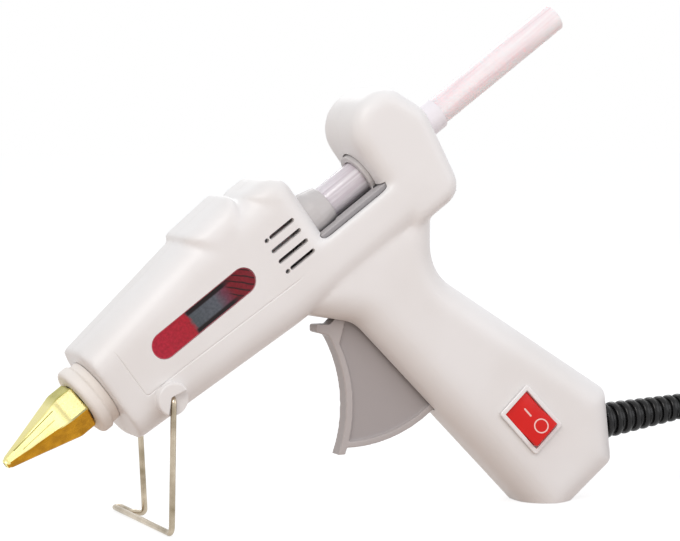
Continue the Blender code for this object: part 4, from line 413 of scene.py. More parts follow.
def scored_line(tree, along, up, start, end, width):
    """1 on a thin straight line from start to end (along, up) on the nozzle's near side."""
    slope = (end[1] - start[1]) / (end[0] - start[0])
    middle = add(
        tree,
        "ShaderNodeMath",
        {0: along, 1: slope, 2: start[1] - slope * start[0]},
        operation="MULTIPLY_ADD",
    )
    off = add(tree, "ShaderNodeMath", {0: up, 1: middle.outputs["Value"]}, operation="SUBTRACT")
    away = add(tree, "ShaderNodeMath", {0: off.outputs["Value"]}, operation="ABSOLUTE")
    thin = add(
        tree,
        "ShaderNodeMapRange",
        {"Value": away.outputs["Value"], "From Min": width * 0.5, "From Max": width, "To Min": 1.0, "To Max": 0.0},
    )
    reach = add(
        tree,
        "ShaderNodeMath",
        {0: along, 1: (start[0] + end[0]) / 2, 2: abs(end[0] - start[0]) / 2},
        operation="COMPARE",
    )
    return add(
        tree,
        "ShaderNodeMath",
        {0: thin.outputs["Result"], 1: reach.outputs["Value"]},
        operation="MULTIPLY",
    ).outputs["Value"]


def nozzle_finish():
    """Turned and milled brass, bright where it is freshly cut; a painted reflection makes the upper facet olive,
    and painted shade makes the lower facets brown and the near flat duller.
    """
    made, tree, shader, spots = metal("brass_milled_heat_toned", "F3EAA6", "EDE093", 0.30, 0.0006, 0.00002)
    place = add(tree, "ShaderNodeSeparateXYZ", {"Vector": in_barrel(tree, spots)})
    normal = tree.nodes["Texture Coordinate"].outputs["Normal"]
    colour = shader.inputs["Base Color"].links[0].from_socket
    blotch = add(tree, "ShaderNodeTexNoise", {"Vector": spots, "Scale": 260.0, "Detail": 3.0})
    painted_brown_shade = add(
        tree,
        "ShaderNodeValToRGB",
        {"Fac": blotch.outputs["Fac"]},
        stops=((0.35, shade("A9761C")), (0.65, shade("C48C22"))),
    )
    painted_olive_reflection = add(
        tree,
        "ShaderNodeValToRGB",
        {"Fac": blotch.outputs["Fac"]},
        stops=((0.35, shade("AEA850")), (0.65, shade("C2BC66"))),
    )
    edge = NOZZLE_TURN - math.radians(30)
    # Painted shade makes the near flat of the six-sided part duller; the painted olive reflection stays there, the
    # painted brown shade runs to the tip
    dull = add(
        tree,
        "ShaderNodeMapRange",
        {"Value": place.outputs["X"], "From Min": -0.0185, "From Max": -0.0165},
    )
    flat = add(
        tree,
        "ShaderNodeMath",
        {0: facing(tree, normal, edge + math.pi / 3, 0.90, 0.96), 1: dull.outputs["Result"]},
        operation="MULTIPLY",
    )
    colour = add(
        tree,
        "ShaderNodeMix",
        {"Factor": flat.outputs["Value"], "A": colour, "B": shade("B0A878")},
        data_type="RGBA",
    ).outputs[2]
    hexagon = add(
        tree,
        "ShaderNodeMapRange",
        {"Value": place.outputs["X"], "From Min": -0.0190, "From Max": -0.0150, "To Min": 0.15, "To Max": 1.0},
    )
    # Painted reflection and shade by facet: olive on the upper facet, brown on the two lower facets
    for angle, tone, reach in ((edge, painted_olive_reflection, hexagon), (edge + 2 * math.pi / 3, painted_brown_shade, None), (edge + math.pi, painted_brown_shade, None)):
        amount = facing(tree, normal, angle, 0.74, 0.80)
        if reach:
            amount = add(
                tree, "ShaderNodeMath", {0: amount, 1: reach.outputs["Result"]}, operation="MULTIPLY"
            ).outputs["Value"]
        colour = add(
            tree,
            "ShaderNodeMix",
            {"Factor": amount, "A": colour, "B": tone.outputs["Color"]},
            data_type="RGBA",
        ).outputs[2]
    # Two fine scored lines along the near facet, the lower one fainter
    for start, end, depth in (
        ((-0.0187, 0.0060), (-0.0379, 0.0026), 0.9),
        ((-0.0202, 0.0032), (-0.0351, 0.0013), 0.6),
    ):
        line = scored_line(tree, place.outputs["X"], place.outputs["Z"], start, end, 0.00022)
        worn = add(tree, "ShaderNodeMath", {0: line, 1: depth}, operation="MULTIPLY")
        colour = add(
            tree,
            "ShaderNodeMix",
            {"Factor": worn.outputs["Value"], "A": colour, "B": shade("6B6428")},
            data_type="RGBA",
        ).outputs[2]
    tree.links.new(colour, shader.inputs["Base Color"])
    return made


def trigger_finish():
    """Grey moulded ABS, smoother than the casing where fingers polish it, its sunk web painted a little darker as
    shade.
    """
    made, tree, shader, spots = moulded("abs_grey_moulded_satin", "BDB6B4", "B5AEAC", 0.38, 0.0006, 0.00003)
    place = add(tree, "ShaderNodeSeparateXYZ", {"Vector": spots})
    across = add(tree, "ShaderNodeMath", {0: place.outputs["Y"]}, operation="ABSOLUTE")
    # Painted shade: the sunk web between the trigger's rims is painted darker
    painted_web_shade = add(
        tree,
        "ShaderNodeMapRange",
        {"Value": across.outputs["Value"], "From Min": 0.0021, "From Max": 0.0029, "To Min": 1.0, "To Max": 0.0},
    )
    shade_mixed = add(
        tree,
        "ShaderNodeMix",
        {
            "Factor": painted_web_shade.outputs["Result"],
            "A": shader.inputs["Base Color"].links[0].from_socket,
            "B": shade("A9A2A1"),
        },
        data_type="RGBA",
    )
    tree.links.new(shade_mixed.outputs[2], shader.inputs["Base Color"])
    return made


def window_finish():
    """Transparent red polycarbonate over the chamber: clear red in front, a smoked band, dark red behind."""
    made, tree, shader, spots = new_material("polycarbonate_red_transparent")
    where = in_barrel(tree, spots)
    place = add(tree, "ShaderNodeSeparateXYZ", {"Vector": where})
    ripple = add(tree, "ShaderNodeTexNoise", {"Vector": where, "Scale": 420.0, "Detail": 3.0})
    waver = add(
        tree,
        "ShaderNodeMath",
        {0: ripple.outputs["Fac"], 1: 0.0022},
        operation="MULTIPLY",
    )
    along = add(
        tree,
        "ShaderNodeMath",
        {0: place.outputs["X"], 1: waver.outputs["Value"]},
        operation="ADD",
    )
    share = add(
        tree,
        "ShaderNodeMapRange",
        {"Value": along.outputs["Value"], "From Min": 0.0212, "From Max": 0.0696, "To Min": 0.0, "To Max": 1.0},
    )
    tone = add(
        tree,
        "ShaderNodeValToRGB",
        {"Fac": share.outputs["Result"]},
        stops=(
            (0.00, shade("B8203A")),
            (0.38, shade("B01C2E")),
            (0.41, shade("4F565C")),
            (0.64, shade("5B5F68")),
            (0.72, shade("6A3A4C")),
            (0.80, shade("7A1420")),
            (1.00, shade("7E1624")),
        ),
    )
    mottle = add(tree, "ShaderNodeTexNoise", {"Vector": where, "Scale": 900.0, "Detail": 4.0})
    dapple = add(
        tree,
        "ShaderNodeValToRGB",
        {"Fac": mottle.outputs["Fac"]},
        stops=((0.35, grey(0.55)), (0.65, grey(1.25))),
    )
    body = add(
        tree,
        "ShaderNodeMix",
        {"Factor": 0.45, "A": tone.outputs["Color"], "B": dapple.outputs["Color"]},
        data_type="RGBA",
        blend_type="MULTIPLY",
    )
    # Dark edges behind the window: the chamber's shadow along the top and the bottom of the smoked part
    above = add(
        tree,
        "ShaderNodeMapRange",
        {"Value": place.outputs["Z"], "From Min": 0.0044, "From Max": 0.0050, "To Min": 0.0, "To Max": 1.0},
    )
    below = add(
        tree,
        "ShaderNodeMapRange",
        {"Value": place.outputs["Z"], "From Min": -0.0016, "From Max": -0.0009, "To Min": 1.0, "To Max": 0.0},
    )
    behind = add(
        tree,
        "ShaderNodeMapRange",
        {"Value": place.outputs["X"], "From Min": 0.0385, "From Max": 0.0395, "To Min": 0.0, "To Max": 1.0},
    )
    ended = add(
        tree,
        "ShaderNodeMapRange",
        {"Value": place.outputs["X"], "From Min": 0.0560, "From Max": 0.0620, "To Min": 1.0, "To Max": 0.0},
    )
    edges = add(
        tree,
        "ShaderNodeMath",
        {0: above.outputs["Result"], 1: below.outputs["Result"]},
        operation="MAXIMUM",
    )
    within = add(
        tree,
        "ShaderNodeMath",
        {0: behind.outputs["Result"], 1: ended.outputs["Result"]},
        operation="MULTIPLY",
    )
    dark = add(
        tree,
        "ShaderNodeMath",
        {0: edges.outputs["Value"], 1: within.outputs["Value"]},
        operation="MULTIPLY",
    )
    # Thin dark lines across the rear: ribs of the casing seen through the red
    lines = add(
        tree,
        "ShaderNodeTexWave",
        {"Vector": where, "Scale": 190.0, "Distortion": 1.4, "Detail": 1.0, "Detail Scale": 1.0},
        bands_direction="DIAGONAL",
    )
    thin = add(
        tree,
        "ShaderNodeMapRange",
        {"Value": lines.outputs["Fac"], "From Min": 0.80, "From Max": 0.95, "To Min": 0.0, "To Max": 1.0},
    )
    rear = add(
        tree,
        "ShaderNodeMapRange",
        {"Value": place.outputs["X"], "From Min": 0.0560, "From Max": 0.0580, "To Min": 0.0, "To Max": 0.85},
    )
    ribs = add(
        tree,
        "ShaderNodeMath",
        {0: thin.outputs["Result"], 1: rear.outputs["Result"]},
        operation="MULTIPLY",
    )
    darkest = add(
        tree,
        "ShaderNodeMath",
        {0: dark.outputs["Value"], 1: ribs.outputs["Value"]},
        operation="MAXIMUM",
    )
    final = add(
        tree,
        "ShaderNodeMix",
        {"Factor": darkest.outputs["Value"], "A": body.outputs[2], "B": shade("17090C")},
        data_type="RGBA",
    )
    relief = add(
        tree,
        "ShaderNodeBump",
        {"Height": mottle.outputs["Fac"], "Strength": 0.15, "Distance": 0.00003},
    )
    # Painted highlight: a pale rim where light runs out through the lens's edge
    held = add(
        tree,
        "ShaderNodeClamp",
        {"Value": place.outputs["X"], "Min": WINDOW_START, "Max": WINDOW_END},
    )
    out = add(
        tree,
        "ShaderNodeCombineXYZ",
        {
            "X": add(
                tree,
                "ShaderNodeMath",
                {0: place.outputs["X"], 1: held.outputs["Result"]},
                operation="SUBTRACT",
            ).outputs["Value"],
            "Y": add(
                tree,
                "ShaderNodeMath",
                {0: place.outputs["Z"], 1: WINDOW_HEIGHT},
                operation="SUBTRACT",
            ).outputs["Value"],
        },
    )
    radius = add(tree, "ShaderNodeVectorMath", {0: out.outputs["Vector"]}, operation="LENGTH")
    rim = add(
        tree,
        "ShaderNodeMapRange",
        {"Value": radius.outputs["Value"], "From Min": 0.00455, "From Max": 0.0048, "To Min": 0.0, "To Max": 0.75},
    )
    painted_rim_highlight = add(
        tree,
        "ShaderNodeMix",
        {"Factor": rim.outputs["Result"], "A": final.outputs[2], "B": shade("E0808C")},
        data_type="RGBA",
    )
    tree.links.new(painted_rim_highlight.outputs[2], shader.inputs["Base Color"])
    tree.links.new(relief.outputs["Normal"], shader.inputs["Normal"])
    shader.inputs["Roughness"].default_value = 0.14
    shader.inputs["Specular IOR Level"].default_value = 0.20
    shader.inputs["IOR"].default_value = 1.58
    return made


def stick_finish():
    """Cast hot-melt glue: milky and faintly pink, light soaks into it and its skin has long flow marks."""
    made, tree, shader, spots = new_material("hot_melt_eva_cast")
    where = in_barrel(tree, spots)
    run = add(tree, "ShaderNodeMapping", {"Vector": where, "Scale": (0.06, 1.0, 1.0)})
    flow = add(
        tree,
        "ShaderNodeTexNoise",
        {"Vector": run.outputs["Vector"], "Scale": 520.0, "Detail": 3.0},
    )
    tone = add(
        tree,
        "ShaderNodeValToRGB",
        {"Fac": flow.outputs["Fac"]},
        stops=((0.34, shade("F1E0E3")), (0.66, shade("FBF3F4"))),
    )
    relief = add(
        tree,
        "ShaderNodeBump",
        {"Height": flow.outputs["Fac"], "Strength": 0.4, "Distance": 0.00008},
    )
    gloss = add(
        tree,
        "ShaderNodeMapRange",
        {"Value": flow.outputs["Fac"], "From Min": 0.3, "From Max": 0.7, "To Min": 0.24, "To Max": 0.36},
    )
    tree.links.new(tone.outputs["Color"], shader.inputs["Base Color"])
    tree.links.new(gloss.outputs["Result"], shader.inputs["Roughness"])
    tree.links.new(relief.outputs["Normal"], shader.inputs["Normal"])
    shader.inputs["Subsurface Weight"].default_value = 0.6
    shader.inputs["Subsurface Radius"].default_value = (1.0, 0.7, 0.7)
    shader.inputs["Subsurface Scale"].default_value = 0.004
    shader.inputs["IOR"].default_value = 1.48
    return made


def sleeve_finish():
    """Extruded clear tube round the pale stick: glassy, faintly lavender, with draw lines along it."""
    made, tree, shader, spots = new_material("polycarbonate_clear_extruded")
    where = in_barrel(tree, spots)
    run = add(tree, "ShaderNodeMapping", {"Vector": where, "Scale": (0.03, 1.0, 1.0)})
    lines = add(
        tree,
        "ShaderNodeTexNoise",
        {"Vector": run.outputs["Vector"], "Scale": 700.0, "Detail": 2.0},
    )
    tone = add(
        tree,
        "ShaderNodeValToRGB",
        {"Fac": lines.outputs["Fac"]},
        stops=((0.36, shade("D6CBD3")), (0.64, shade("F4EDF3"))),
    )
    relief = add(
        tree,
        "ShaderNodeBump",
        {"Height": lines.outputs["Fac"], "Strength": 0.5, "Distance": 0.0001},
    )
    tree.links.new(tone.outputs["Color"], shader.inputs["Base Color"])
    tree.links.new(relief.outputs["Normal"], shader.inputs["Normal"])
    shader.inputs["Roughness"].default_value = 0.12
    shader.inputs["Subsurface Weight"].default_value = 0.35
    shader.inputs["Subsurface Radius"].default_value = (1.0, 0.85, 0.95)
    shader.inputs["Subsurface Scale"].default_value = 0.003
    shader.inputs["IOR"].default_value = 1.46
    shader.inputs["Coat Weight"].default_value = 0.5
    shader.inputs["Coat Roughness"].default_value = 0.05
    return made


ACETAL, acetal_tree, acetal_shader, acetal_shade_mix = carriage_finish()
acetal_tree.links.new(acetal_shade_mix.outputs[2], acetal_shader.inputs["Base Color"])
BRASS = nozzle_finish()
GREY_ABS = trigger_finish()
WINDOW_RED = window_finish()
GLUE = stick_finish()
CLEAR = sleeve_finish()


# Floor, world and lamps


def seen_directly(tree):
    """1 for camera, glossy and transmission rays, which show the white background."""
    path = add(tree, "ShaderNodeLightPath")
    two = add(
        tree,
        "ShaderNodeMath",
        {0: path.outputs["Is Camera Ray"], 1: path.outputs["Is Glossy Ray"]},
        operation="MAXIMUM",
    )
    return add(
        tree,
        "ShaderNodeMath",
        {0: two.outputs["Value"], 1: path.outputs["Is Transmission Ray"]},
        operation="MAXIMUM",
    ).outputs["Value"]


def make_stage():
    """A wide matt paper floor: white behind the object, with its soft shadow kept."""
    mesh = bpy.data.meshes.new("floor")
    reach = 6.0
    mesh.from_pydata(
        [(-reach, -reach, -0.0002), (reach, -reach, -0.0002), (reach, reach, -0.0002), (-reach, reach, -0.0002)],
        [],
        [(0, 1, 2, 3)],
    )
    floor = bpy.data.objects.new("floor", mesh)
    scene.collection.objects.link(floor)
    made = bpy.data.materials.new("paper_white_matt")
    made.use_nodes = True
    tree = made.node_tree
    tree.nodes.clear()
    glow = add(tree, "ShaderNodeEmission", {"Color": grey(1.0), "Strength": 0.80})
    skin = add(tree, "ShaderNodeBsdfDiffuse", {"Color": grey(0.32)})
    shown = add(tree, "ShaderNodeAddShader", {0: glow.outputs[0], 1: skin.outputs[0]})
    paper = add(tree, "ShaderNodeBsdfDiffuse", {"Color": shade("C6B4A8")})
    both = add(
        tree,
        "ShaderNodeMixShader",
        {"Fac": seen_directly(tree), 1: paper.outputs[0], 2: shown.outputs[0]},
    )
    add(tree, "ShaderNodeOutputMaterial", {"Surface": both.outputs[0]})
    mesh.materials.append(made)


def make_world():
    world = bpy.data.worlds.new("studio")
    world.use_nodes = True
    tree = world.node_tree
    tree.nodes.clear()
    sky = add(
        tree,
        "ShaderNodeMix",
        {"Factor": seen_directly(tree), "A": (0.62, 0.64, 0.67, 1), "B": grey(1.0)},
        data_type="RGBA",
    )
    light = add(tree, "ShaderNodeBackground", {"Color": sky.outputs[2], "Strength": 1.0})
    add(tree, "ShaderNodeOutputWorld", {"Surface": light.outputs[0]})
    scene.world = world


def make_lamp(name, place, aim, width, watts, colour):
    data = bpy.data.lights.new(name, "AREA")
    data.shape = "SQUARE"
    data.size = width
    data.energy = watts
    data.color = shade(colour)[:3]
    lamp = bpy.data.objects.new(name, data)
    lamp.location = place
    lamp.rotation_euler = (Vector(aim) - Vector(place)).to_track_quat("-Z", "Y").to_euler()
    scene.collection.objects.link(lamp)


make_stage()
make_world()
make_lamp("key_softbox", (-0.9, -1.0, 1.1), (-0.07, 0, 0.09), 0.9, 10.0, "FFFBF7")
make_lamp("fill_softbox", (0.9, -1.0, 0.6), (-0.05, 0, 0.08), 1.0, 4.0, "F8F9FF")
make_lamp("rim_softbox", (0.3, 1.1, 1.0), (-0.05, 0, 0.10), 0.8, 4.0, "FFFFFF")


# Meshes


def new_piece(name, mesh):
    piece = bpy.data.objects.new(name, mesh)
    scene.collection.objects.link(piece)
    return piece


def tidy(mesh):
    """Welds the loose points of a mesh and turns its faces outward."""
    build = bmesh.new()
    build.from_mesh(mesh)
    bmesh.ops.remove_doubles(build, verts=build.verts, dist=WELD)
    bmesh.ops.recalc_face_normals(build, faces=build.faces)
    build.to_mesh(mesh)
    build.free()


def baked(piece):
    """The piece with its modifiers applied, as a plain mesh object at the origin."""
    bpy.context.view_layer.update()
    graph = bpy.context.evaluated_depsgraph_get()
    mesh = bpy.data.meshes.new_from_object(piece.evaluated_get(graph))
    if piece.type == "CURVE":
        name, place = piece.name, piece.matrix_world.copy()
        bpy.data.objects.remove(piece, do_unlink=True)
        tidy(mesh)
        mesh.transform(place)
        return new_piece(name, mesh)
    piece.modifiers.clear()
    piece.data = mesh
    return piece


def combine(piece, operation, others, solver="MANIFOLD"):
    for other in others:
        step = piece.modifiers.new(other.name, "BOOLEAN")
        step.operation = operation
        step.solver = solver
        step.object = other
    baked(piece)
    for other in others:
        bpy.data.objects.remove(other, do_unlink=True)
    return piece


def join(piece, *others, solver="MANIFOLD"):
    return combine(piece, "UNION", others, solver)


def cut(piece, *others, solver="MANIFOLD"):
    return combine(piece, "DIFFERENCE", others, solver)


def soften(piece, voxel, rounds):
    """Remakes a solid in even faces and rounds its edges and inner corners, as a mould does."""
    remade = piece.modifiers.new("remake", "REMESH")
    remade.mode = "VOXEL"
    remade.voxel_size = voxel
    smooth = piece.modifiers.new("round", "SMOOTH")
    smooth.factor = 0.5
    smooth.iterations = rounds
    return baked(piece)


def dress(piece, name, material, body, slot, *replaced, sharp=35.0):
    """Names a finished piece, gives it its finish, and hangs it on its body in place of its solids."""
    piece.name = name
    piece.data.name = name
    piece.data.materials.clear()
    piece.data.materials.append(material)
    piece.data.shade_smooth()
    piece.data.set_sharp_from_angle(angle=math.radians(sharp))
    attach(piece, body)
    if replaced:
        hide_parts(*replaced)
    return piece


def node_copy(name):
    """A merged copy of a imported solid."""
    mesh = NODES[name].data.copy()
    build = bmesh.new()
    build.from_mesh(mesh)
    bmesh.ops.remove_doubles(build, verts=build.verts, dist=WELD * 5)
    build.to_mesh(mesh)
    build.free()
    return new_piece("copy_of_" + name, mesh)


def block(place, low, high):
    """A box between two opposite corners of a frame."""
    build = bmesh.new()
    bmesh.ops.create_cube(build, size=1)
    for vert in build.verts:
        vert.co = [a + (c + 0.5) * (b - a) for a, b, c in zip(low, high, vert.co)]
    mesh = bpy.data.meshes.new("block")
    build.to_mesh(mesh)
    build.free()
    mesh.transform(place)
    return new_piece("block", mesh)


def rod(place, start, end, radius, sides=48, end_radius=None):
    start, end = Vector(start), Vector(end)
    turn = (end - start).to_track_quat("Z", "Y").to_matrix().to_4x4()
    build = bmesh.new()
    bmesh.ops.create_cone(
        build,
        cap_ends=True,
        segments=sides,
        radius1=radius,
        radius2=end_radius or radius,
        depth=(end - start).length,
        matrix=Matrix.Translation((start + end) / 2) @ turn,
    )
    mesh = bpy.data.meshes.new("rod")
    build.to_mesh(mesh)
    build.free()
    mesh.transform(place)
    return new_piece("rod", mesh)


def turned(place, profile, sides=96, closed=True):
    """A turned solid on the frame's X axis from (along, radius) points."""
    build = bmesh.new()
    rings = []
    for along, radius in profile:
        if radius < WELD:
            rings.append([build.verts.new((along, 0, 0))])
            continue
        ring = []
        for step in range(sides):
            angle = 2 * math.pi * step / sides
            ring.append(build.verts.new((along, radius * math.cos(angle), radius * math.sin(angle))))
        rings.append(ring)
    pairs = list(zip(rings, rings[1:])) + ([(rings[-1], rings[0])] if closed else [])
    for first, second in pairs:
        for step in range(sides):
            following = (step + 1) % sides
            corners = [
                first[step % len(first)],
                first[following % len(first)],
                second[following % len(second)],
                second[step % len(second)],
            ]
            kept = list(dict.fromkeys(corners))
            if len(kept) > 2:
                build.faces.new(kept)
    bmesh.ops.recalc_face_normals(build, faces=build.faces)
    mesh = bpy.data.meshes.new("turned")
    build.to_mesh(mesh)
    build.free()
    mesh.transform(place)
    return new_piece("turned", mesh)


def rounded(profile, radius, steps=4):
    """A profile's points with every corner rounded by up to a radius, or by its own third value."""
    spots = [Vector(point[:2]) for point in profile]
    points = []
    for index, spot in enumerate(spots):
        before, after = spots[index - 1], spots[(index + 1) % len(spots)]
        into, out = (spot - before), (after - spot)
        own = profile[index][2] if len(profile[index]) > 2 else radius
        reach = min(own, into.length * 0.48, out.length * 0.48)
        start, end = spot - into.normalized() * reach, spot + out.normalized() * reach
        for step in range(steps + 1):
            share = step / steps
            points.append((start * (1 - share) + spot * share) * (1 - share) + (spot * (1 - share) + end * share) * share)
    return [tuple(point) for point in points]


def area(corners):
    ring = list(corners) + [corners[0]]
    return sum(a[0] * b[1] - b[0] * a[1] for a, b in zip(ring, ring[1:])) / 2


def outline(corners, inset, arc):
    """Points of a closed outline with rounded corners (x, z, radius), moved in by inset."""
    if area(corners) < 0:
        corners = corners[::-1]
    count = len(corners)
    spots = [Vector(corner[:2]) for corner in corners]
    ways = [(spots[(i + 1) % count] - spots[i]).normalized() for i in range(count)]
    points = []
    for index, spot in enumerate(spots):
        before, after = ways[index - 1], ways[index]
        turn = math.atan2(before.x * after.y - before.y * after.x, before.dot(after))
        inward = Vector((-before.y, before.x)) + Vector((-after.y, after.x))
        middle = spot + inward * inset / (1 + before.dot(after))
        given = corners[index][2]
        radius = max(given - inset, 0.0) if turn > 0 else given + inset if given else 0.0
        if radius < WELD or abs(turn) < arc / 4:
            points.append(middle)
            continue
        reach = radius * math.tan(abs(turn) / 2)
        side = math.copysign(1.0, turn)
        centre = middle - before * reach + Vector((-before.y, before.x)) * radius * side
        spoke = Vector((before.y, -before.x)) * radius * side
        steps = max(1, round(abs(turn) / arc))
        for step in range(steps + 1):
            points.append(centre + Matrix.Rotation(turn * step / steps, 2) @ spoke)
    return points


def slab(place, points, low, high, edge=0.0, steps=6):
    """A flat solid with an outline (x, z) between two y values, its rounding outside the outline."""
    curve = bpy.data.curves.new("slab", "CURVE")
    curve.dimensions = "2D"
    curve.fill_mode = "BOTH"
    curve.extrude = (high - low) / 2 - edge
    curve.bevel_depth = edge
    curve.bevel_resolution = steps
    spline = curve.splines.new("POLY")
    spline.points.add(len(points) - 1)
    for spot, point in zip(spline.points, points):
        spot.co = (point[0], point[1], 0, 1)
    spline.use_cyclic_u = True
    piece = new_piece("slab", curve)
    piece.matrix_world = place @ Matrix.Translation((0, (low + high) / 2, 0)) @ Matrix.Rotation(math.pi / 2, 4, "X")
    return baked(piece)


def tube(points, radius, roundness=6):
    """A solid wire along points."""
    curve = bpy.data.curves.new("tube", "CURVE")
    curve.dimensions = "3D"
    curve.bevel_depth = radius
    curve.bevel_resolution = roundness
    curve.use_fill_caps = True
    spline = curve.splines.new("POLY")
    spline.points.add(len(points) - 1)
    for spot, point in zip(spline.points, points):
        spot.co = (*point, 1)
    return baked(new_piece("tube", curve))


def bent(corners, radii, arc=math.radians(9.0)):
    """A wire's path with each inner corner rounded by its radius."""
    spots = [Vector(corner) for corner in corners]
    path = [spots[0]]
    for before, spot, after, radius in zip(spots, spots[1:], spots[2:], radii):
        into, out = (spot - before).normalized(), (after - spot).normalized()
        turn = into.angle(out)
        reach = radius * math.tan(turn / 2)
        axis = into.cross(out).normalized()
        centre = spot - into * reach + axis.cross(into) * radius
        spoke = spot - into * reach - centre
        steps = max(2, round(turn / arc))
        for step in range(steps + 1):
            path.append(centre + Matrix.Rotation(turn * step / steps, 3, axis) @ spoke)
    return path + [spots[-1]]


def smooth_path(route, spacing):
    """Points at even steps along a smooth curve through the route."""
    spots = [Vector(point) for point in route]
    ends = [2 * spots[0] - spots[1]] + spots + [2 * spots[-1] - spots[-2]]
    path = [spots[0]]
    for a, b, c, d in zip(ends, ends[1:], ends[2:], ends[3:]):
        steps = max(1, round((c - b).length / spacing))
        for step in range(1, steps + 1):
            t = step / steps
            bend = (2 * a - 5 * b + 4 * c - d) * t**2 + (3 * b - a - 3 * c + d) * t**3
            path.append((2 * b + (c - a) * t + bend) / 2)
    return path


def barrel_point(along, up, across=0.0):
    return BARREL @ Vector((along, across, up))


# Cord: from the strain relief down to the surface, into its coil and to the plug


def coil_points():
    """The wound cord: in to the middle, up, out again above, and up once more outside."""
    lower = round(COIL_TURNS_A_LAYER * COIL_POINTS_A_TURN)
    climb = COIL_POINTS_A_TURN // 2
    outside = 2 * lower + climb
    points = []
    for step in range(outside + climb + 1):
        angle = COIL_START - 2 * math.pi * step / COIL_POINTS_A_TURN
        inward = max(min(step, outside - step, lower), 0)
        radius = COIL_OUTER - COIL_PITCH * inward / COIL_POINTS_A_TURN
        height = CORD_RADIUS + COIL_LIFT
        for first, way in ((lower, -1), (outside, 1)):
            share = min(max((step - first) / climb, 0.0), 1.0)
            height += COIL_PITCH * (1 - math.cos(math.pi * share)) / 2
            radius += way * COIL_TUCK * math.sin(math.pi * share)
        points.append(Vector((COIL_X + radius * math.cos(angle), COIL_Y + radius * math.sin(angle), height)))
    centre = Vector((COIL_X, COIL_Y, 0))
    first, last = points[0] - centre, points[-1] - centre
    back = Vector((-first.y, first.x, 0)).normalized()
    ahead = Vector((last.y, -last.x, 0)).normalized()
    return [points[0] + back * 2 * CORD_RADIUS] + points + [points[-1] + ahead * 2 * CORD_RADIUS]


def free_path(start, start_way, route, end, end_way):
    lead = 2 * CORD_RADIUS
    first = Vector(start) + Vector(start_way) * GAP
    last = Vector(end) - Vector(end_way) * GAP
    inner = [first + Vector(start_way) * lead, *route, last - Vector(end_way) * lead]
    return [first] + smooth_path(inner, lead) + [last]


def relief_end():
    return GAP + (RIB_COUNT - 1 + RIB_SHARE) * (RELIEF_LENGTH - GAP) / RIB_COUNT


def make_cord():
    coil = coil_points()
    out = Vector((math.cos(RELIEF_TILT), 0, math.sin(RELIEF_TILT)))
    mouth = Vector((RELIEF_X, 0, RELIEF_Z)) + out * relief_end()
    lead = free_path(mouth, out, CORD_ROUTE, coil[0], (coil[1] - coil[0]).normalized())
    tail_end = Vector((PLUG_X, PLUG_Y, PLUG_MIDDLE))
    tail = free_path(coil[-1], (coil[-1] - coil[-2]).normalized(), TAIL_ROUTE, tail_end, Vector((-1, 0, 0)))
    points = lead + coil[1:-1] + tail
    curve = bpy.data.curves.new("mains_cord", "CURVE")
    curve.dimensions = "3D"
    curve.bevel_depth = CORD_RADIUS
    curve.bevel_resolution = 4
    curve.use_fill_caps = True
    spline = curve.splines.new("POLY")
    spline.points.add(len(points) - 1)
    for spot, point in zip(spline.points, points):
        spot.co = (*point, 1)
    curve.materials.append(CORD_PVC)
    cord = new_piece("mains_cord", curve)
    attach(cord, "casing")
    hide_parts("cord_lead", "cord_coil", "cord_tail")


# Casing


def line_at(start, end, place):
    return start[1] + (place - start[0]) * (end[1] - start[1]) / (end[0] - start[0])


def crossing(first, second, third, fourth):
    (a, b), (c, d) = (Vector(first), Vector(second)), (Vector(third), Vector(fourth))
    way, other = b - a, d - c
    share = ((c.x - a.x) * other.y - (c.y - a.y) * other.x) / (way.x * other.y - way.y * other.x)
    return tuple(a + way * share)


def shell_form(place, corners, half_width, edge, wall, arc, steps):
    half = half_width - wall
    return slab(place, outline(corners, edge, arc), -half, half, edge - wall, steps)


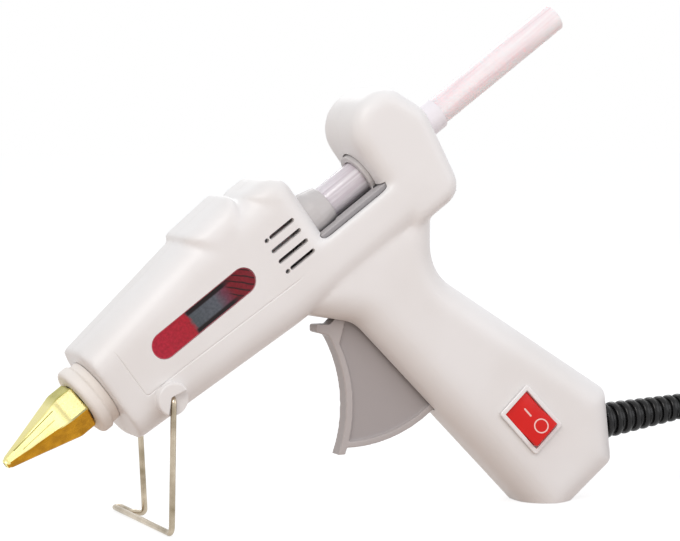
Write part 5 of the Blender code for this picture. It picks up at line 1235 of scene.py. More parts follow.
def casing_forms(wall, arc, steps):
    """Barrel, hood and handle, or their hollows where wall is the wall's thickness."""
    top = line_at((0, FRONT_TOP), (SHOULDER_AT, BARREL_TOP), -RUNOUT)
    bottom = line_at((0, FRONT_BOTTOM), (BOTTOM_BEND_AT, BARREL_BOTTOM), -RUNOUT)
    end = HOOD_AT + HOOD_LENGTH - HOOD_HEEL
    barrel = shell_form(
        BARREL,
        (
            (-RUNOUT, top, 0),
            (-RUNOUT, -bottom, 0),
            (BOTTOM_BEND_AT, -BARREL_BOTTOM, 0),
            (end, -BARREL_BOTTOM, BARREL_EDGE),
            (end, BARREL_TOP, 0),
            (SHOULDER_AT, BARREL_TOP, 0),
        ),
        BARREL_HALF,
        BARREL_EDGE,
        wall,
        arc,
        steps,
    )
    notch_start = BARREL_LENGTH - (wall or NOTCH_LEAD)
    far = CUT_SPAN
    barrel = cut(
        barrel,
        block(BARREL, (-far, -far, -far), (wall, far, far)),
        block(BARREL, (notch_start, -far, wall - NOTCH_DEPTH), (far, far, far)),
        solver="EXACT",
    )
    hood = shell_form(
        BARREL,
        (
            (HOOD_AT, HOOD_TOP, HOOD_NOSE_RADIUS),
            (HOOD_AT, -BARREL_BOTTOM - BAND_INSET, 0),
            (end, -BARREL_BOTTOM - BAND_INSET, HOOD_HEEL_RADIUS),
            (HOOD_AT + HOOD_LENGTH, HOOD_TAIL_HEIGHT, HOOD_TAIL_RADIUS),
            (HOOD_AT + HOOD_LENGTH - HOOD_SLOPE, HOOD_TOP, HOOD_TOP_RADIUS),
        ),
        BARREL_HALF - BAND_INSET,
        HOOD_EDGE,
        wall,
        arc,
        steps,
    )
    tip = crossing(HANDLE_CHIN, (-BUTT_HALF, 0), BUTT_REAR_LOW, (BUTT_HALF, 0))
    handle = shell_form(
        STANDING,
        (
            (*tip, 0),
            (*BUTT_REAR_LOW, HANDLE_EDGE),
            (*BUTT_REAR_HIGH, HANDLE_EDGE),
            (*HANDLE_BACK, HANDLE_BACK_RADIUS),
            (*HANDLE_BACK_TOP, 0),
            (*HANDLE_ROOT_TOP, 0),
            (*HANDLE_ROOT_FRONT, 0),
            (*HANDLE_CHIN, HANDLE_EDGE),
        ),
        HANDLE_HALF,
        HANDLE_EDGE,
        wall,
        arc,
        steps,
    )
    return barrel, hood, handle


def band_forms(arc, steps):
    start, end, low, high = FRONT_BAND
    half = BARREL_HALF - BAND_INSET
    front = ((start, low, 0.006), (end, high, 0.005), (end, -BAND_FOOT, 0), (start, -BAND_FOOT, 0))
    back = (
        (REAR_BAND_START, REAR_BAND_TOP, 0.005),
        (BARREL_LENGTH, REAR_BAND_TOP, BAND_EDGE + 0.0005),
        (BARREL_LENGTH, -REAR_BAND_FOOT, 0),
        (REAR_BAND_START, -REAR_BAND_FOOT, 0),
    )
    return [shell_form(BARREL, corners, half, BAND_EDGE, 0, arc, steps) for corners in (front, back)]


def round_ended(start, end, height, radius, steps):
    points = []
    for place, first in ((end, -math.pi / 2), (start, math.pi / 2)):
        for step in range(steps + 1):
            angle = first + math.pi * step / steps
            points.append((place + radius * math.cos(angle), height + radius * math.sin(angle)))
    return points


def geometry_tree(name, sizes):
    """A Geometry Nodes tree with a geometry in and out and named sizes: returns the tree, its ends and its ids."""
    tree = bpy.data.node_groups.new(name, "GeometryNodeTree")
    tree.interface.new_socket("Geometry", in_out="INPUT", socket_type="NodeSocketGeometry")
    names = {}
    for label, kind, value in sizes:
        socket = tree.interface.new_socket(label, in_out="INPUT", socket_type=kind)
        socket.default_value = value
        names[label] = socket.identifier
    tree.interface.new_socket("Geometry", in_out="OUTPUT", socket_type="NodeSocketGeometry")
    return tree, add(tree, "NodeGroupInput"), names


def grown(piece, tree, values=None):
    """The piece that a Geometry Nodes tree makes from it, as a plain mesh."""
    step = piece.modifiers.new(tree.name, "NODES")
    step.node_group = tree
    for identifier, value in (values or {}).items():
        step[identifier] = value
    return baked(piece)


def rows_tree():
    """Copies of the piece in rows down the barrel's side, realised and given a material."""
    tree, given, names = geometry_tree(
        "vent_rows", (("Rows", "NodeSocketInt", 2), ("Pitch", "NodeSocketFloat", VENT_PITCH))
    )
    step = BARREL.to_3x3() @ Vector((0, 0, -1))
    offset = add(tree, "ShaderNodeVectorMath", {0: step, "Scale": given.outputs["Pitch"]}, operation="SCALE")
    line = add(
        tree,
        "GeometryNodeMeshLine",
        {"Count": given.outputs["Rows"], "Offset": offset.outputs["Vector"]},
        mode="OFFSET",
    )
    copies = add(
        tree,
        "GeometryNodeInstanceOnPoints",
        {"Points": line.outputs["Mesh"], "Instance": given.outputs["Geometry"]},
    )
    real = add(tree, "GeometryNodeRealizeInstances", {"Geometry": copies.outputs["Instances"]})
    painted = add(tree, "GeometryNodeSetMaterial", {"Geometry": real.outputs["Geometry"], "Material": WHITE_ABS})
    add(tree, "NodeGroupOutput", {"Geometry": painted.outputs["Geometry"]})
    return tree, names


def vent_cutters():
    """Slots through both walls, the outer two broken near their front ends."""
    tree, names = rows_tree()
    low, high = -BARREL_HALF - OVERRUN, BARREL_HALF + OVERRUN
    cutters = []
    for start, end, height, pitch in (
        (VENT_START, VENT_END, VENT_TOP - VENT_PITCH, VENT_PITCH),
        (VENT_START + VENT_DOT, VENT_END, VENT_TOP, 3 * VENT_PITCH),
        (VENT_START, VENT_START + VENT_RADIUS / 4, VENT_TOP, 3 * VENT_PITCH),
    ):
        one = slab(BARREL, round_ended(start, end, height, VENT_RADIUS, 8), low, high)
        cutters.append(grown(one, tree, {names["Rows"]: 2, names["Pitch"]: pitch}))
    return cutters


def trigger_slot():
    lead = TRIGGER_TOP[0] - RUNNING_GAP
    chin_x, chin_z = HANDLE_CHIN
    corners = (
        (lead, TRIGGER_TOP[1]),
        (lead, PIVOT_Z + RUNNING_GAP),
        (PIVOT_X + TRIGGER_HUB, PIVOT_Z),
        (chin_x + RUNOUT + SLOT_DEEP, chin_z - RUNOUT + SLOT_DEEP),
        (chin_x + 2 * RUNOUT, chin_z - 2 * RUNOUT),
        (chin_x + RUNOUT, chin_z - 2 * RUNOUT),
    )
    slot = slab(STANDING, corners, -TRIGGER_SLOT_HALF, TRIGGER_SLOT_HALF)
    sweep = rod(STANDING, (PIVOT_X, -0.0125, PIVOT_Z), (PIVOT_X, 0.0125, PIVOT_Z), TRIGGER_RIM_RADIUS + RUNNING_GAP, 112)
    return combine(slot, "INTERSECT", [sweep])


def stand_sweep(side):
    """Recess in the boss's face in which the stand's leg swings."""
    reach = STAND_BOSS_RADIUS + OVERRUN
    room = STAND_WIRE + GAP
    middle = Vector((STAND_AT, -STAND_DROP))
    first = -math.pi / 2 - BARREL_TILT - STAND_LEAN
    last = first + STAND_FOLD + 2 * STAND_LEAN
    starts = [
        middle + room * Vector((math.sin(first), -math.cos(first))),
        middle - room * Vector((math.sin(last), -math.cos(last))),
    ]
    points = [starts[0], starts[0] + reach * Vector((math.cos(first), math.sin(first)))]
    for step in range(17):
        angle = first + (last - first) * step / 16
        points.append(middle + reach * Vector((math.cos(angle), math.sin(angle))))
    points += [starts[1] + reach * Vector((math.cos(last), math.sin(last))), starts[1]]
    inner = BARREL_HALF + STAND_BOSS_FLOOR
    outer = BARREL_HALF + STAND_BOSS_OUT + OVERRUN
    return slab(BARREL, points, *sorted((side * inner, side * outer)))


def stand_boss(side):
    """Round boss with a softly rounded rim."""
    face = BARREL_HALF + STAND_BOSS_OUT
    profile = [(0.0080, 0.0), (0.0080, STAND_BOSS_RADIUS), (face, STAND_BOSS_RADIUS), (face, 0.0)]
    spun = rounded(profile, 0.0009, 5)
    points = [(along, radius) for along, radius in spun if radius > 0.0004]
    points = [(0.0080, 0.0)] + points + [(face, 0.0)]
    place = BARREL @ Matrix.Translation((STAND_AT, 0, -STAND_DROP)) @ Matrix.Rotation(side * math.pi / 2, 4, "Z")
    return turned(place, points, 72, closed=False)


def panel_groove(whole):
    """Thin moulded line round the window's panel, sunk in each side of the barrel."""
    whole.data.calc_loop_triangles()
    verts = [vert.co.copy() for vert in whole.data.vertices]
    faces = [tuple(tri.vertices) for tri in whole.data.loop_triangles]
    surface = BVHTree.FromPolygons(verts, faces)
    corners = [(0.0097, 0, 0.0119), (0.0097, 0, -0.0089), (0.0269, 0, -0.0092), (0.0817, 0, -0.0115), (0.0905, 0, -0.0105)]
    path = smooth_path(bent(corners, [0.0016] * 3), 0.0012)
    made = []
    for side in (-1, 1):
        points = []
        for index, spot in enumerate(path):
            start = barrel_point(spot.x, spot.z, side * 0.05)
            hit = surface.ray_cast(start, Vector((0, -side, 0)))[0]
            share = min(index / 3, (len(path) - 1 - index) / 14, 1.0)
            points.append(hit + Vector((0, side * (0.00042 - 0.0003 * share), 0)))
        made.append(tube(points, 0.00042, 2))
    return made


def make_casing():
    """Two softly moulded halves with a fine seam between them."""
    barrel, hood, handle = casing_forms(0, FINE, 7)
    whole = join(barrel, hood, handle, *band_forms(FINE, 6), solver="EXACT")
    whole = soften(whole, 0.0008, 24)
    far = CUT_SPAN
    whole = cut(whole, block(STANDING, (-far, -far, -far), (far, far, 0)))
    grooves = panel_groove(whole)
    whole = join(whole, stand_boss(-1), stand_boss(1))
    barrel, hood, handle = casing_forms(WALL, COARSE, 3)
    handle = cut(handle, block(STANDING, (-far, -far, -far), (far, far, WALL)), solver="EXACT")
    hollow = join(barrel, hood, handle, solver="EXACT")
    half = BARREL_HALF
    screws = [(BARREL, *spot) for spot in BARREL_SCREWS] + [(STANDING, *spot) for spot in HANDLE_SCREWS]
    posts = [rod(place, (x, -half, z), (x, half, z), POST_RADIUS, 24) for place, x, z in screws]
    for side in (-1, 1):
        boss = (PIVOT_X, side * (TRIGGER_HALF + RUNNING_GAP), PIVOT_Z), (PIVOT_X, side * half, PIVOT_Z)
        posts.append(rod(STANDING, *boss, PIN_BOSS_RADIUS, 24))
        post = (STAND_AT, side * (STAND_PIN_INNER - WALL), -STAND_DROP), (STAND_AT, side * half, -STAND_DROP)
        posts.append(rod(BARREL, *post, STAND_WIRE + WALL, 24))
    hollow = cut(hollow, *posts, solver="EXACT")
    bush, arch = INLET_RADIUS + GAP, CARRIAGE_RADIUS + RUNNING_GAP
    lens = round_ended(WINDOW_START, WINDOW_END, WINDOW_HEIGHT, WINDOW_RADIUS + GAP, 20)
    half_long, half_wide = SWITCH_LENGTH / 2 + GAP, SWITCH_WIDTH / 2 + GAP
    openings = [
        rod(BARREL, (-OVERRUN, 0, 0), (WALL + OVERRUN, 0, 0), COLLAR_NECK + RUNNING_GAP, 96),
        rod(BARREL, (BARREL_LENGTH - 2 * WALL, 0, 0), (HOOD_AT + 2 * WALL, 0, 0), arch, 96),
        rod(BARREL, (INLET_AT, 0, 0), (HOOD_AT + HOOD_LENGTH + OVERRUN, 0, 0), bush, 96),
        rod(RELIEF, (-WALL - OVERRUN, 0, 0), (OVERRUN, 0, 0), RELIEF_NECK + GAP, 64),
        rod(RELIEF, (-3 * WALL, 0, 0), (-WALL, 0, 0), RELIEF_FLANGE + GAP, 64),
        rod(
            STANDING,
            (PIVOT_X, -TRIGGER_PIN_HALF + OVERRUN, PIVOT_Z),
            (PIVOT_X, TRIGGER_PIN_HALF - OVERRUN, PIVOT_Z),
            TRIGGER_PIN_RADIUS + GAP,
            32,
        ),
        block(SWITCH, (-half_long, -OVERRUN, -half_wide), (half_long, WALL + OVERRUN, half_wide)),
        trigger_slot(),
        slab(BARREL, lens, -BARREL_HALF - OVERRUN, -BARREL_HALF + 2 * WALL),
        slab(BARREL, lens, BARREL_HALF - 2 * WALL, BARREL_HALF + OVERRUN),
        stand_sweep(-1),
        stand_sweep(1),
    ]
    for side in (-1, 1):
        inner, outer = side * (STAND_PIN_INNER - GAP), side * (BARREL_HALF + STAND_BOSS_OUT + OVERRUN)
        openings.append(rod(BARREL, (STAND_AT, inner, -STAND_DROP), (STAND_AT, outer, -STAND_DROP), STAND_WIRE + GAP, 24))
    for place, x, z in screws:
        seat = (x, SCREW_SEAT, z)
        openings.append(rod(place, (x, -SCREW_REACH - GAP, z), seat, SCREW_RADIUS + GAP, 24))
        openings.append(rod(place, seat, (x, BARREL_HALF + OVERRUN, z), SCREW_HEAD_RADIUS + GAP, 40))
    whole = cut(whole, hollow, *openings, *vent_cutters(), *grooves)
    other = new_piece("other_half", whole.data.copy())
    for piece, name, low, high in (
        (whole, "casing_near_half", SEAM_OFFSET, far),
        (other, "casing_far_half", -far, SEAM_OFFSET + SEAM),
    ):
        half = cut(piece, block(STANDING, (-far, low, -far), (far, high, far)))
        tidy(half.data)
        node = "casing_left" if low > 0 else "casing_right"
        dress(half, name, WHITE_ABS, "casing", "housing_plastic", node, sharp=38.0)


def make_windows():
    """Red lens in each side with a softly rounded rim, and its flange behind the wall."""
    for side, name in ((-1, "window_left"), (1, "window_right")):
        face = side * (BARREL_HALF - WINDOW_RECESS)
        back = side * (BARREL_HALF - WALL - GAP)
        rim = side * (BARREL_HALF - WALL - GAP - 0.0012)
        round_by = 0.0003
        lens = slab(
            BARREL,
            round_ended(WINDOW_START, WINDOW_END, WINDOW_HEIGHT, WINDOW_RADIUS + GAP - SEAM - round_by, 24),
            *sorted((face, (back + rim) / 2)),
            round_by,
            4,
        )
        flange = slab(
            BARREL,
            round_ended(WINDOW_START, WINDOW_END, WINDOW_HEIGHT, WINDOW_RADIUS + 0.0015, 24),
            *sorted((back, rim)),
        )
        dress(join(lens, flange, solver="EXACT"), name + "_lens", WINDOW_RED, "casing", "window_red", name)


# Front end


def make_collar():
    """Moulded silicone collar with a soft lip and a groove behind it."""
    lip = -COLLAR_GROOVE - COLLAR_LIP + GAP
    waist = 0.0126
    profile = [
        (COLLAR_BACK, COLLAR_FLANGE, 0.0005),
        (WALL + GAP, COLLAR_FLANGE, 0.0005),
        (WALL + GAP, COLLAR_NECK, 0.0002),
        (-SEAM, COLLAR_NECK, 0.0002),
        (-SEAM, waist, 0.0012),
        (-COLLAR_GROOVE + 0.0008, waist, 0.0012),
        (-COLLAR_GROOVE, COLLAR_RADIUS, 0.0012),
        (lip, COLLAR_RADIUS, 0.0021),
        (lip, COLLAR_BORE, 0.0003),
        (COLLAR_BACK, COLLAR_BORE, 0.0003),
    ]
    piece = turned(BARREL, rounded(profile, 0.0017, 7))
    dress(piece, "front_collar", SILICONE, "casing", "collar_silicone", "nozzle_collar", sharp=50.0)


def hexagon_radius(angle, radius, blend):
    """Distance to a hexagon's edge with its corners eased by blend."""
    third = math.pi / 3
    away = (angle - NOZZLE_TURN) % third - third / 2
    flat = radius * math.cos(third / 2) / math.cos(away)
    return min(flat, radius * (1 - blend))


def make_nozzle():
    """Milled six-sided nozzle with eased edges, a rounded tip and a threaded neck."""
    hexagon = NOZZLE_BACK - NOZZLE_HEX_LENGTH
    tip = hexagon - NOZZLE_CONE_LENGTH
    rings = [(-0.0003, NOZZLE_THREAD_RADIUS, None)]
    turns = 8
    for step in range(turns * 4 + 1):
        along = -0.0008 + (NOZZLE_BACK + 0.0004 + 0.0008) * step / (turns * 4)
        rings.append((along, NOZZLE_THREAD_RADIUS - (0.0003 if step % 4 == 2 else 0.0), None))
    rings += [
        (NOZZLE_BACK, NOZZLE_THREAD_RADIUS, None),
        (NOZZLE_BACK, NOZZLE_HEX - 0.0010, 0.02),
        (NOZZLE_BACK - 0.0003, NOZZLE_HEX - 0.0004, 0.02),
        (NOZZLE_BACK - 0.0008, NOZZLE_HEX, 0.02),
        (hexagon, NOZZLE_HEX, 0.02),
        (hexagon - 0.0010, NOZZLE_HEX - 0.0002, 0.02),
    ]
    for step in range(1, 9):
        share = step / 8
        rings.append((hexagon - 0.0010 - (NOZZLE_CONE_LENGTH - 0.0026) * share,
                      NOZZLE_HEX - 0.0002 + (NOZZLE_TIP_RADIUS - NOZZLE_HEX + 0.0006) * share, 0.02 + 0.05 * share))
    rings += [
        (tip + 0.0008, NOZZLE_TIP_RADIUS - 0.0001, 0.09),
        (tip + 0.0003, NOZZLE_TIP_RADIUS - 0.0004, None),
        (tip, NOZZLE_TIP_RADIUS - 0.0009, None),
        (tip, NOZZLE_BORE, None),
        (hexagon, NOZZLE_BORE, None),
        (-0.0003, NOZZLE_THREAD_RADIUS - 0.0016, None),
    ]
    sides = 96
    build = bmesh.new()
    loops = []
    for along, radius, blend in rings:
        loop = []
        for step in range(sides):
            angle = 2 * math.pi * step / sides + NOZZLE_TURN
            out = radius if blend is None else hexagon_radius(angle, radius, blend)
            loop.append(build.verts.new((along, -out * math.sin(angle), out * math.cos(angle))))
        loops.append(loop)
    for first, second in zip(loops, loops[1:] + loops[:1]):
        for step in range(sides):
            following = (step + 1) % sides
            build.faces.new((first[step], first[following], second[following], second[step]))
    bmesh.ops.recalc_face_normals(build, faces=build.faces)
    mesh = bpy.data.meshes.new("nozzle")
    build.to_mesh(mesh)
    build.free()
    mesh.transform(BARREL)
    dress(new_piece("nozzle", mesh), "brass_nozzle", BRASS, "casing", "nozzle_brass", "nozzle", sharp=12.0)


# Feed


def make_feed():
    rails = [
        block(
            BARREL,
            (BARREL_LENGTH - OVERRUN, min(side * 0.0095, side * 0.0140), -0.0068),
            (HOOD_AT + 0.0080, max(side * 0.0095, side * 0.0140), -0.0045),
        )
        for side in (-1, 1)
    ]
    carriage = join(node_copy("feed_carriage"), *rails, solver="EXACT")
    carriage = soften(carriage, 0.00040, 3)
    dress(carriage, "carriage_moulding", ACETAL, "carriage", "carriage_plastic", "feed_carriage", sharp=60.0)
    end = SLEEVE_START + SLEEVE_LENGTH
    sleeve = turned(
        BARREL,
        rounded(
            [(end, SLEEVE_RADIUS), (SLEEVE_START, SLEEVE_RADIUS), (SLEEVE_START, STICK_RADIUS + GAP), (end, STICK_RADIUS + GAP)],
            0.0003,
            3,
        ),
    )
    dress(sleeve, "clear_sleeve", CLEAR, "carriage", "sleeve_clear", "feed_sleeve")
    back = STICK_START + STICK_REACH
    ends = rounded([(back, 0.0), (back, STICK_RADIUS), (STICK_START, STICK_RADIUS), (STICK_START, 0.0)], 0.0006, 4)
    kept = [(back, 0.0)] + [(a, r) for a, r in ends if r > 0.0004] + [(STICK_START, 0.0)]
    stick = turned(BARREL, kept, 72, closed=False)
    dress(stick, "glue_stick_cast", GLUE, "stick", "glue_stick", "glue_stick")
    bore = STICK_RADIUS + GAP
    bush = turned(
        BARREL,
        rounded(
            [
                (INLET_END, INLET_RADIUS),
                (INLET_AT, INLET_RADIUS),
                (INLET_AT, INLET_FLANGE),
                (INLET_AT - WALL, INLET_FLANGE),
                (INLET_AT - WALL, bore),
                (INLET_END, bore),
            ],
            0.0005,
            4,
        ),
    )
    dress(bush, "inlet_bush_ring", BUSH_NYLON, "casing", "inlet_bush", "inlet_bush")


def make_trigger():
    trigger = soften(node_copy("trigger"), 0.00040, 2)
    dress(trigger, "trigger_moulding", GREY_ABS, "trigger", "trigger_plastic", "trigger", sharp=60.0)


def make_stand():
    pin = barrel_point(STAND_AT, -STAND_DROP)
    bar_x = pin.x - STAND_FOOT_AHEAD
    back_x = bar_x + STAND_RETURN_STEP
    floor = STAND_WIRE
    fold_x = bar_x + 2 * STAND_WIRE + 0.0003
    corners = (
        (pin.x, -STAND_PIN_INNER, pin.z),
        (pin.x, -STAND_LEG_Y, pin.z),
        (bar_x, -STAND_NEAR_FOOT_Y, floor),
        (bar_x, STAND_END_Y, floor),
        (fold_x, STAND_END_Y, floor),
        (fold_x, STAND_FAR_FOOT_Y + 0.0045, floor),
        (back_x, STAND_FAR_FOOT_Y, floor),
        (pin.x, STAND_LEG_Y, pin.z),
        (pin.x, STAND_PIN_INNER, pin.z),
    )
    radii = (STAND_BEND, 0.0028, 0.00118, 0.00118, 0.0020, 0.0020, STAND_BEND)
    wire = tube(bent(corners, radii), STAND_WIRE, 6)
    dress(wire, "bent_wire_stand", STAND_STEEL, "stand", "stand_wire", "wire_stand", sharp=50.0)


# Switch


def box_corners(length, width, radius):
    half_long, half_wide = length / 2, width / 2
    return (
        (-half_long, -half_wide, radius),
        (half_long, -half_wide, radius),
        (half_long, half_wide, radius),
        (-half_long, half_wide, radius),
    )


def make_switch():
    """Switch frame with bevelled rim and pocket, its rocker, and the marks on it."""
    edge = 0.0005
    rim = slab(SWITCH, outline(box_corners(BEZEL_LENGTH, BEZEL_WIDTH, BEZEL_CORNER), edge, FINE), -BEZEL_PROUD, -GAP, edge, 4)
    half_long, half_wide = SWITCH_LENGTH / 2, SWITCH_WIDTH / 2
    body = block(SWITCH, (-half_long, -BEZEL_PROUD / 2, -half_wide), (half_long, SWITCH_DEPTH, half_wide))
    long, wide = ROCKER_LENGTH / 2 + POCKET_PLAY, ROCKER_WIDTH / 2 + GAP
    pocket = block(SWITCH, (-long, -BEZEL_PROUD - OVERRUN, -wide), (long, ROCKER_POCKET, wide))
    frame_piece = cut(join(rim, body, solver="EXACT"), pocket, solver="EXACT")
    bevel = frame_piece.modifiers.new("eased", "BEVEL")
    bevel.width = 0.00025
    bevel.segments = 2
    bevel.limit_method = "ANGLE"
    bevel.angle_limit = math.radians(50)
    dress(baked(frame_piece), "switch_frame_moulding", FRAME_PC, "casing", "switch_frame", "switch_body")

    half = ROCKER_LENGTH / 2
    rise = half * math.tan(ROCKER_SWING / 2)
    profile = (
        (-half, -ROCKER_LEVEL - rise),
        (0, -ROCKER_LEVEL),
        (half, -ROCKER_LEVEL - rise),
        (half - ROCKER_TAPER, ROCKER_DEPTH / 2),
        (half / 2, ROCKER_DEPTH),
        (-half / 2, ROCKER_DEPTH),
        (-half + ROCKER_TAPER, ROCKER_DEPTH / 2),
    )
    turn = Matrix.Rotation(-ROCKER_SWING / 2, 2)
    hinge = Vector((0, ROCKER_HINGE))
    spun = [hinge + turn @ (Vector(point) - hinge) for point in profile]
    verts = [SWITCH @ Vector((point.x, point.y, side * ROCKER_WIDTH / 2)) for side in (-1, 1) for point in spun]
    count = len(spun)
    faces = [tuple(range(count)), tuple(range(2 * count - 1, count - 1, -1))]
    faces += [(i, i + count, (i + 1) % count + count, (i + 1) % count) for i in range(count)]
    mesh = bpy.data.meshes.new("rocker")
    mesh.from_pydata(verts, [], faces)
    tidy(mesh)
    rocker = new_piece("rocker", mesh)
    eased = rocker.modifiers.new("eased", "BEVEL")
    eased.width = 0.0005
    eased.segments = 4
    eased.limit_method = "ANGLE"
    eased.angle_limit = math.radians(25)
    dress(baked(rocker), "rocker_button", ROCKER_RED, "rocker", "switch_red", "switch_rocker", sharp=30.0)

    def on_face(side, along):
        """A frame on the rocker's face: its place, X along the switch, Y out of the face."""
        start = spun[1]
        end = spun[0] if side < 0 else spun[2]
        way = (end - start).normalized()
        spot = start + way * along
        way = way if side > 0 else -way
        out = Vector((way.y, -way.x))
        local = Matrix(((way.x, out.x, 0, spot.x), (way.y, out.y, 0, spot.y), (0, 0, 1, 0), (0, 0, 0, 1)))
        return SWITCH @ local

    thin = 0.00006
    bar = slab(on_face(-1, 0.0026), round_ended(-0.0019, 0.0019, 0.0010, 0.00034, 6), -0.00003, thin)
    dress(bar, "rocker_mark_on", MARK_INK, "rocker", "switch_frame")
    facing_out = on_face(1, 0.0050) @ Matrix.Translation((0, 0, 0.0010)) @ Matrix.Rotation(math.pi / 2, 4, "Z")
    ring = turned(facing_out, [(-0.00003, 0.00240), (thin, 0.00240), (thin, 0.00290), (-0.00003, 0.00290)], 64)
    dress(ring, "rocker_mark_off", MARK_INK, "rocker", "switch_frame")


# Cord's fittings


def relief_tree():
    """Rings along the strain relief's axis that shrink toward its tip."""
    pitch = (RELIEF_LENGTH - GAP) / RIB_COUNT
    tree, given, names = geometry_tree(
        "relief_ribs",
        (
            ("Ribs", "NodeSocketInt", RIB_COUNT),
            ("Pitch", "NodeSocketFloat", pitch),
            ("Root radius", "NodeSocketFloat", RELIEF_ROOT),
            ("Tip radius", "NodeSocketFloat", RELIEF_TIP),
            ("Rib length", "NodeSocketFloat", pitch * RIB_SHARE),
        ),
    )
    along = add(tree, "ShaderNodeCombineXYZ", {"X": given.outputs["Pitch"]})
    line = add(
        tree,
        "GeometryNodeMeshLine",
        {"Count": given.outputs["Ribs"], "Offset": along.outputs["Vector"]},
        mode="OFFSET",
    )
    last = add(tree, "ShaderNodeMath", {0: given.outputs["Ribs"], 1: 1.0}, operation="SUBTRACT")
    index = add(tree, "GeometryNodeInputIndex")
    share = add(tree, "ShaderNodeMath", {0: index.outputs[0], 1: last.outputs["Value"]}, operation="DIVIDE")
    radius = add(
        tree,
        "ShaderNodeMapRange",
        {
            "Value": share.outputs["Value"],
            "To Min": given.outputs["Root radius"],
            "To Max": given.outputs["Tip radius"],
        },
    )
    scale = add(
        tree,
        "ShaderNodeCombineXYZ",
        {"X": given.outputs["Rib length"], "Y": radius.outputs["Result"], "Z": radius.outputs["Result"]},
    )
    rings = add(
        tree,
        "GeometryNodeInstanceOnPoints",
        {"Points": line.outputs["Mesh"], "Instance": given.outputs["Geometry"], "Scale": scale.outputs["Vector"]},
    )
    real = add(tree, "GeometryNodeRealizeInstances", {"Geometry": rings.outputs["Instances"]})
    painted = add(tree, "GeometryNodeSetMaterial", {"Geometry": real.outputs["Geometry"], "Material": RELIEF_PVC})
    add(tree, "NodeGroupOutput", {"Geometry": painted.outputs["Geometry"]})
    return tree


def make_relief():
    """Ribbed strain relief: a tapered core with a bulging ring at each pitch."""
    seat = -WALL - GAP
    bore = CORD_RADIUS + GAP
    pitch = (RELIEF_LENGTH - GAP) / RIB_COUNT
    # One rib of unit length and radius, bulging in its middle
    bulge = [(0.0, 0.84), (0.03, 0.92), (0.12, 0.965), (0.28, 0.99), (0.5, 1.0), (0.72, 0.99), (0.88, 0.965), (0.97, 0.92), (1.0, 0.84)]
    ring = turned(STANDING, bulge + [(1.0, 0.70), (0.0, 0.70)], 48)
    ribs = grown(ring, relief_tree())
    ribs.data.transform(RELIEF @ Matrix.Translation((GAP, 0, 0)))
    core_root, core_tip = RELIEF_ROOT - RIB_DEPTH * 1.5, RELIEF_TIP - RIB_DEPTH * 1.3
    profile = [
        (seat - RELIEF_FLANGE_THICK, bore),
        (seat - RELIEF_FLANGE_THICK, RELIEF_FLANGE),
        (seat, RELIEF_FLANGE),
        (seat, RELIEF_NECK),
        (GAP, RELIEF_NECK),
        (GAP + pitch * 0.2, core_root),
        (relief_end() - 0.0003, core_tip),
        (relief_end() - 0.0003, bore),
    ]
    core = turned(RELIEF, profile, 48)
    core.data.materials.append(RELIEF_PVC)
    solid = join(core, ribs, solver="EXACT")
    dress(solid, "strain_relief_boot", RELIEF_PVC, "casing", "relief_rubber", "strain_relief", sharp=45.0)


def make_plug():
    half_wide, half_neck = PLUG_WIDTH / 2, PLUG_NECK / 2
    front = PLUG_X - PLUG_LENGTH
    corners = (
        (front, -half_wide, PLUG_EDGE),
        (front + PLUG_SHOULDER, -half_wide, PLUG_EDGE),
        (PLUG_X, -half_neck, PLUG_EDGE),
        (PLUG_X, half_neck, PLUG_EDGE),
        (front + PLUG_SHOULDER, half_wide, PLUG_EDGE),
        (front, half_wide, PLUG_EDGE),
    )
    half = PLUG_THICK / 2
    lying = Matrix.Translation((0, PLUG_Y, PLUG_MIDDLE)) @ Matrix.Rotation(-math.pi / 2, 4, "X")
    body = slab(lying, outline(corners, PLUG_EDGE, FINE), -half, half, PLUG_EDGE, 6)
    sockets = []
    for side in (-1, 1):
        y = PLUG_Y + side * PLUG_PIN_STEP / 2
        ends = (front - OVERRUN, y, PLUG_MIDDLE), (front + PLUG_PIN_ROOT, y, PLUG_MIDDLE)
        sockets.append(rod(STANDING, *ends, PLUG_PIN_RADIUS + GAP, 32))
    body = cut(body, *sockets)
    dress(body, "mains_plug", PLUG_PVC, "casing", "plug_rubber", "plug_body")


def screw_tree(screw):
    """A screw at every point, its head toward +Y."""
    tree, given, names = geometry_tree("screw_places", (("Screw", "NodeSocketObject", None),))
    shown = add(tree, "GeometryNodeObjectInfo", {"Object": given.outputs["Screw"]})
    copies = add(
        tree,
        "GeometryNodeInstanceOnPoints",
        {"Points": given.outputs["Geometry"], "Instance": shown.outputs["Geometry"]},
    )
    real = add(tree, "GeometryNodeRealizeInstances", {"Geometry": copies.outputs["Instances"]})
    painted = add(tree, "GeometryNodeSetMaterial", {"Geometry": real.outputs["Geometry"], "Material": ZINC_STEEL})
    add(tree, "NodeGroupOutput", {"Geometry": painted.outputs["Geometry"]})
    return tree, names


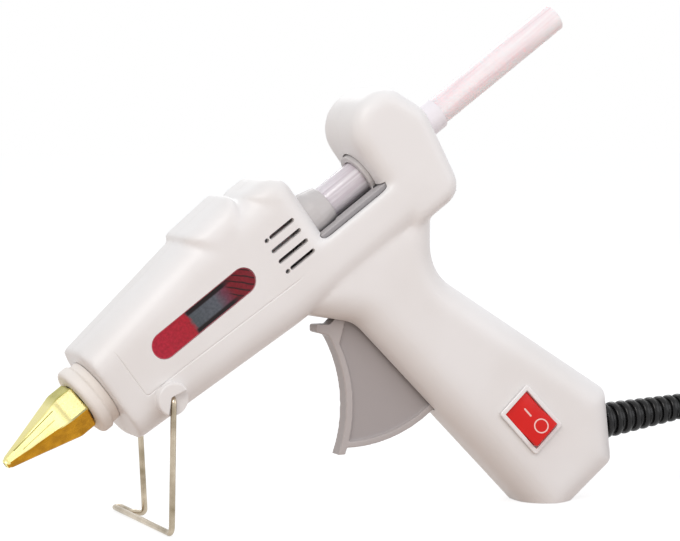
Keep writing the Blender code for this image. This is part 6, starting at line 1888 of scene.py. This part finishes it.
def make_screws():
    """Pan-head cross-recess screws in the far half's seats."""
    along_y = Matrix.Rotation(math.pi / 2, 4, "Z")
    head = SCREW_SEAT + GAP
    top = head + SCREW_HEAD_THICK
    profile = [
        (-SCREW_REACH, 0.0),
        (-SCREW_REACH + 0.0014, SCREW_RADIUS),
        (head, SCREW_RADIUS),
        (head, SCREW_HEAD_RADIUS),
        (top - 0.0008, SCREW_HEAD_RADIUS),
        (top - 0.0003, SCREW_HEAD_RADIUS - 0.0004),
        (top, SCREW_HEAD_RADIUS - 0.0012),
        (top, 0.0),
    ]
    screw = turned(along_y, profile, 32, closed=False)
    cross = [block(STANDING, (-long, top - 0.0009, -wide), (long, top + 0.001, wide)) for long, wide in ((0.0014, 0.0003), (0.0003, 0.0014))]
    screw = cut(screw, *cross, solver="EXACT")
    spots = [BARREL @ Vector((x, 0, z)) for x, z in BARREL_SCREWS] + [Vector((x, 0, z)) for x, z in HANDLE_SCREWS]
    mesh = bpy.data.meshes.new("screw_places")
    mesh.from_pydata(spots, [], [])
    places = new_piece("screw_places", mesh)
    tree, names = screw_tree(screw)
    places = grown(places, tree, {names["Screw"]: screw})
    bpy.data.objects.remove(screw, do_unlink=True)
    nodes = [f"casing_screw_{index + 1}" for index in range(7)]
    dress(places, "casing_screws", ZINC_STEEL, "casing", "screw_steel", *nodes)


def make_spring():
    """The return spring: a copy of the imported one, with its own mesh."""
    spring = node_copy("return_spring")
    dress(spring, "return_spring_wound", SPRING_STEEL, "casing", "spring_steel", "return_spring")
    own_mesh(spring)


def dress_inner_nodes():
    """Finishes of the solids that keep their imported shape."""
    for material, names in (
        (CAST_ALUMINIUM, ("melt_chamber",)),
        (HEATER_STEATITE, ("heater_plate",)),
        (RED_SILICONE, ("chamber_seal",)),
        (SPRING_STEEL, ("seal_clamp",)),
        (GROUND_STEEL, ("grip_jaw", "jaw_pin", "trigger_pin")),
        (TERMINAL_BRASS, ("switch_terminal_1", "switch_terminal_2")),
        (CORD_PVC, ("cord_held_end",)),
        (LEAD_SLEEVE, ("lead_cord_to_heater", "lead_switch_to_heater", "lead_cord_to_switch")),
        (NICKEL_PINS, ("plug_pin_1", "plug_pin_2")),
    ):
        for name in names:
            for slot in NODES[name].material_slots:
                slot.material = material


make_plug()
make_cord()
make_casing()
make_windows()
make_collar()
make_nozzle()
make_feed()
make_trigger()
make_stand()
make_switch()
make_relief()
make_screws()
make_spring()
dress_inner_nodes()
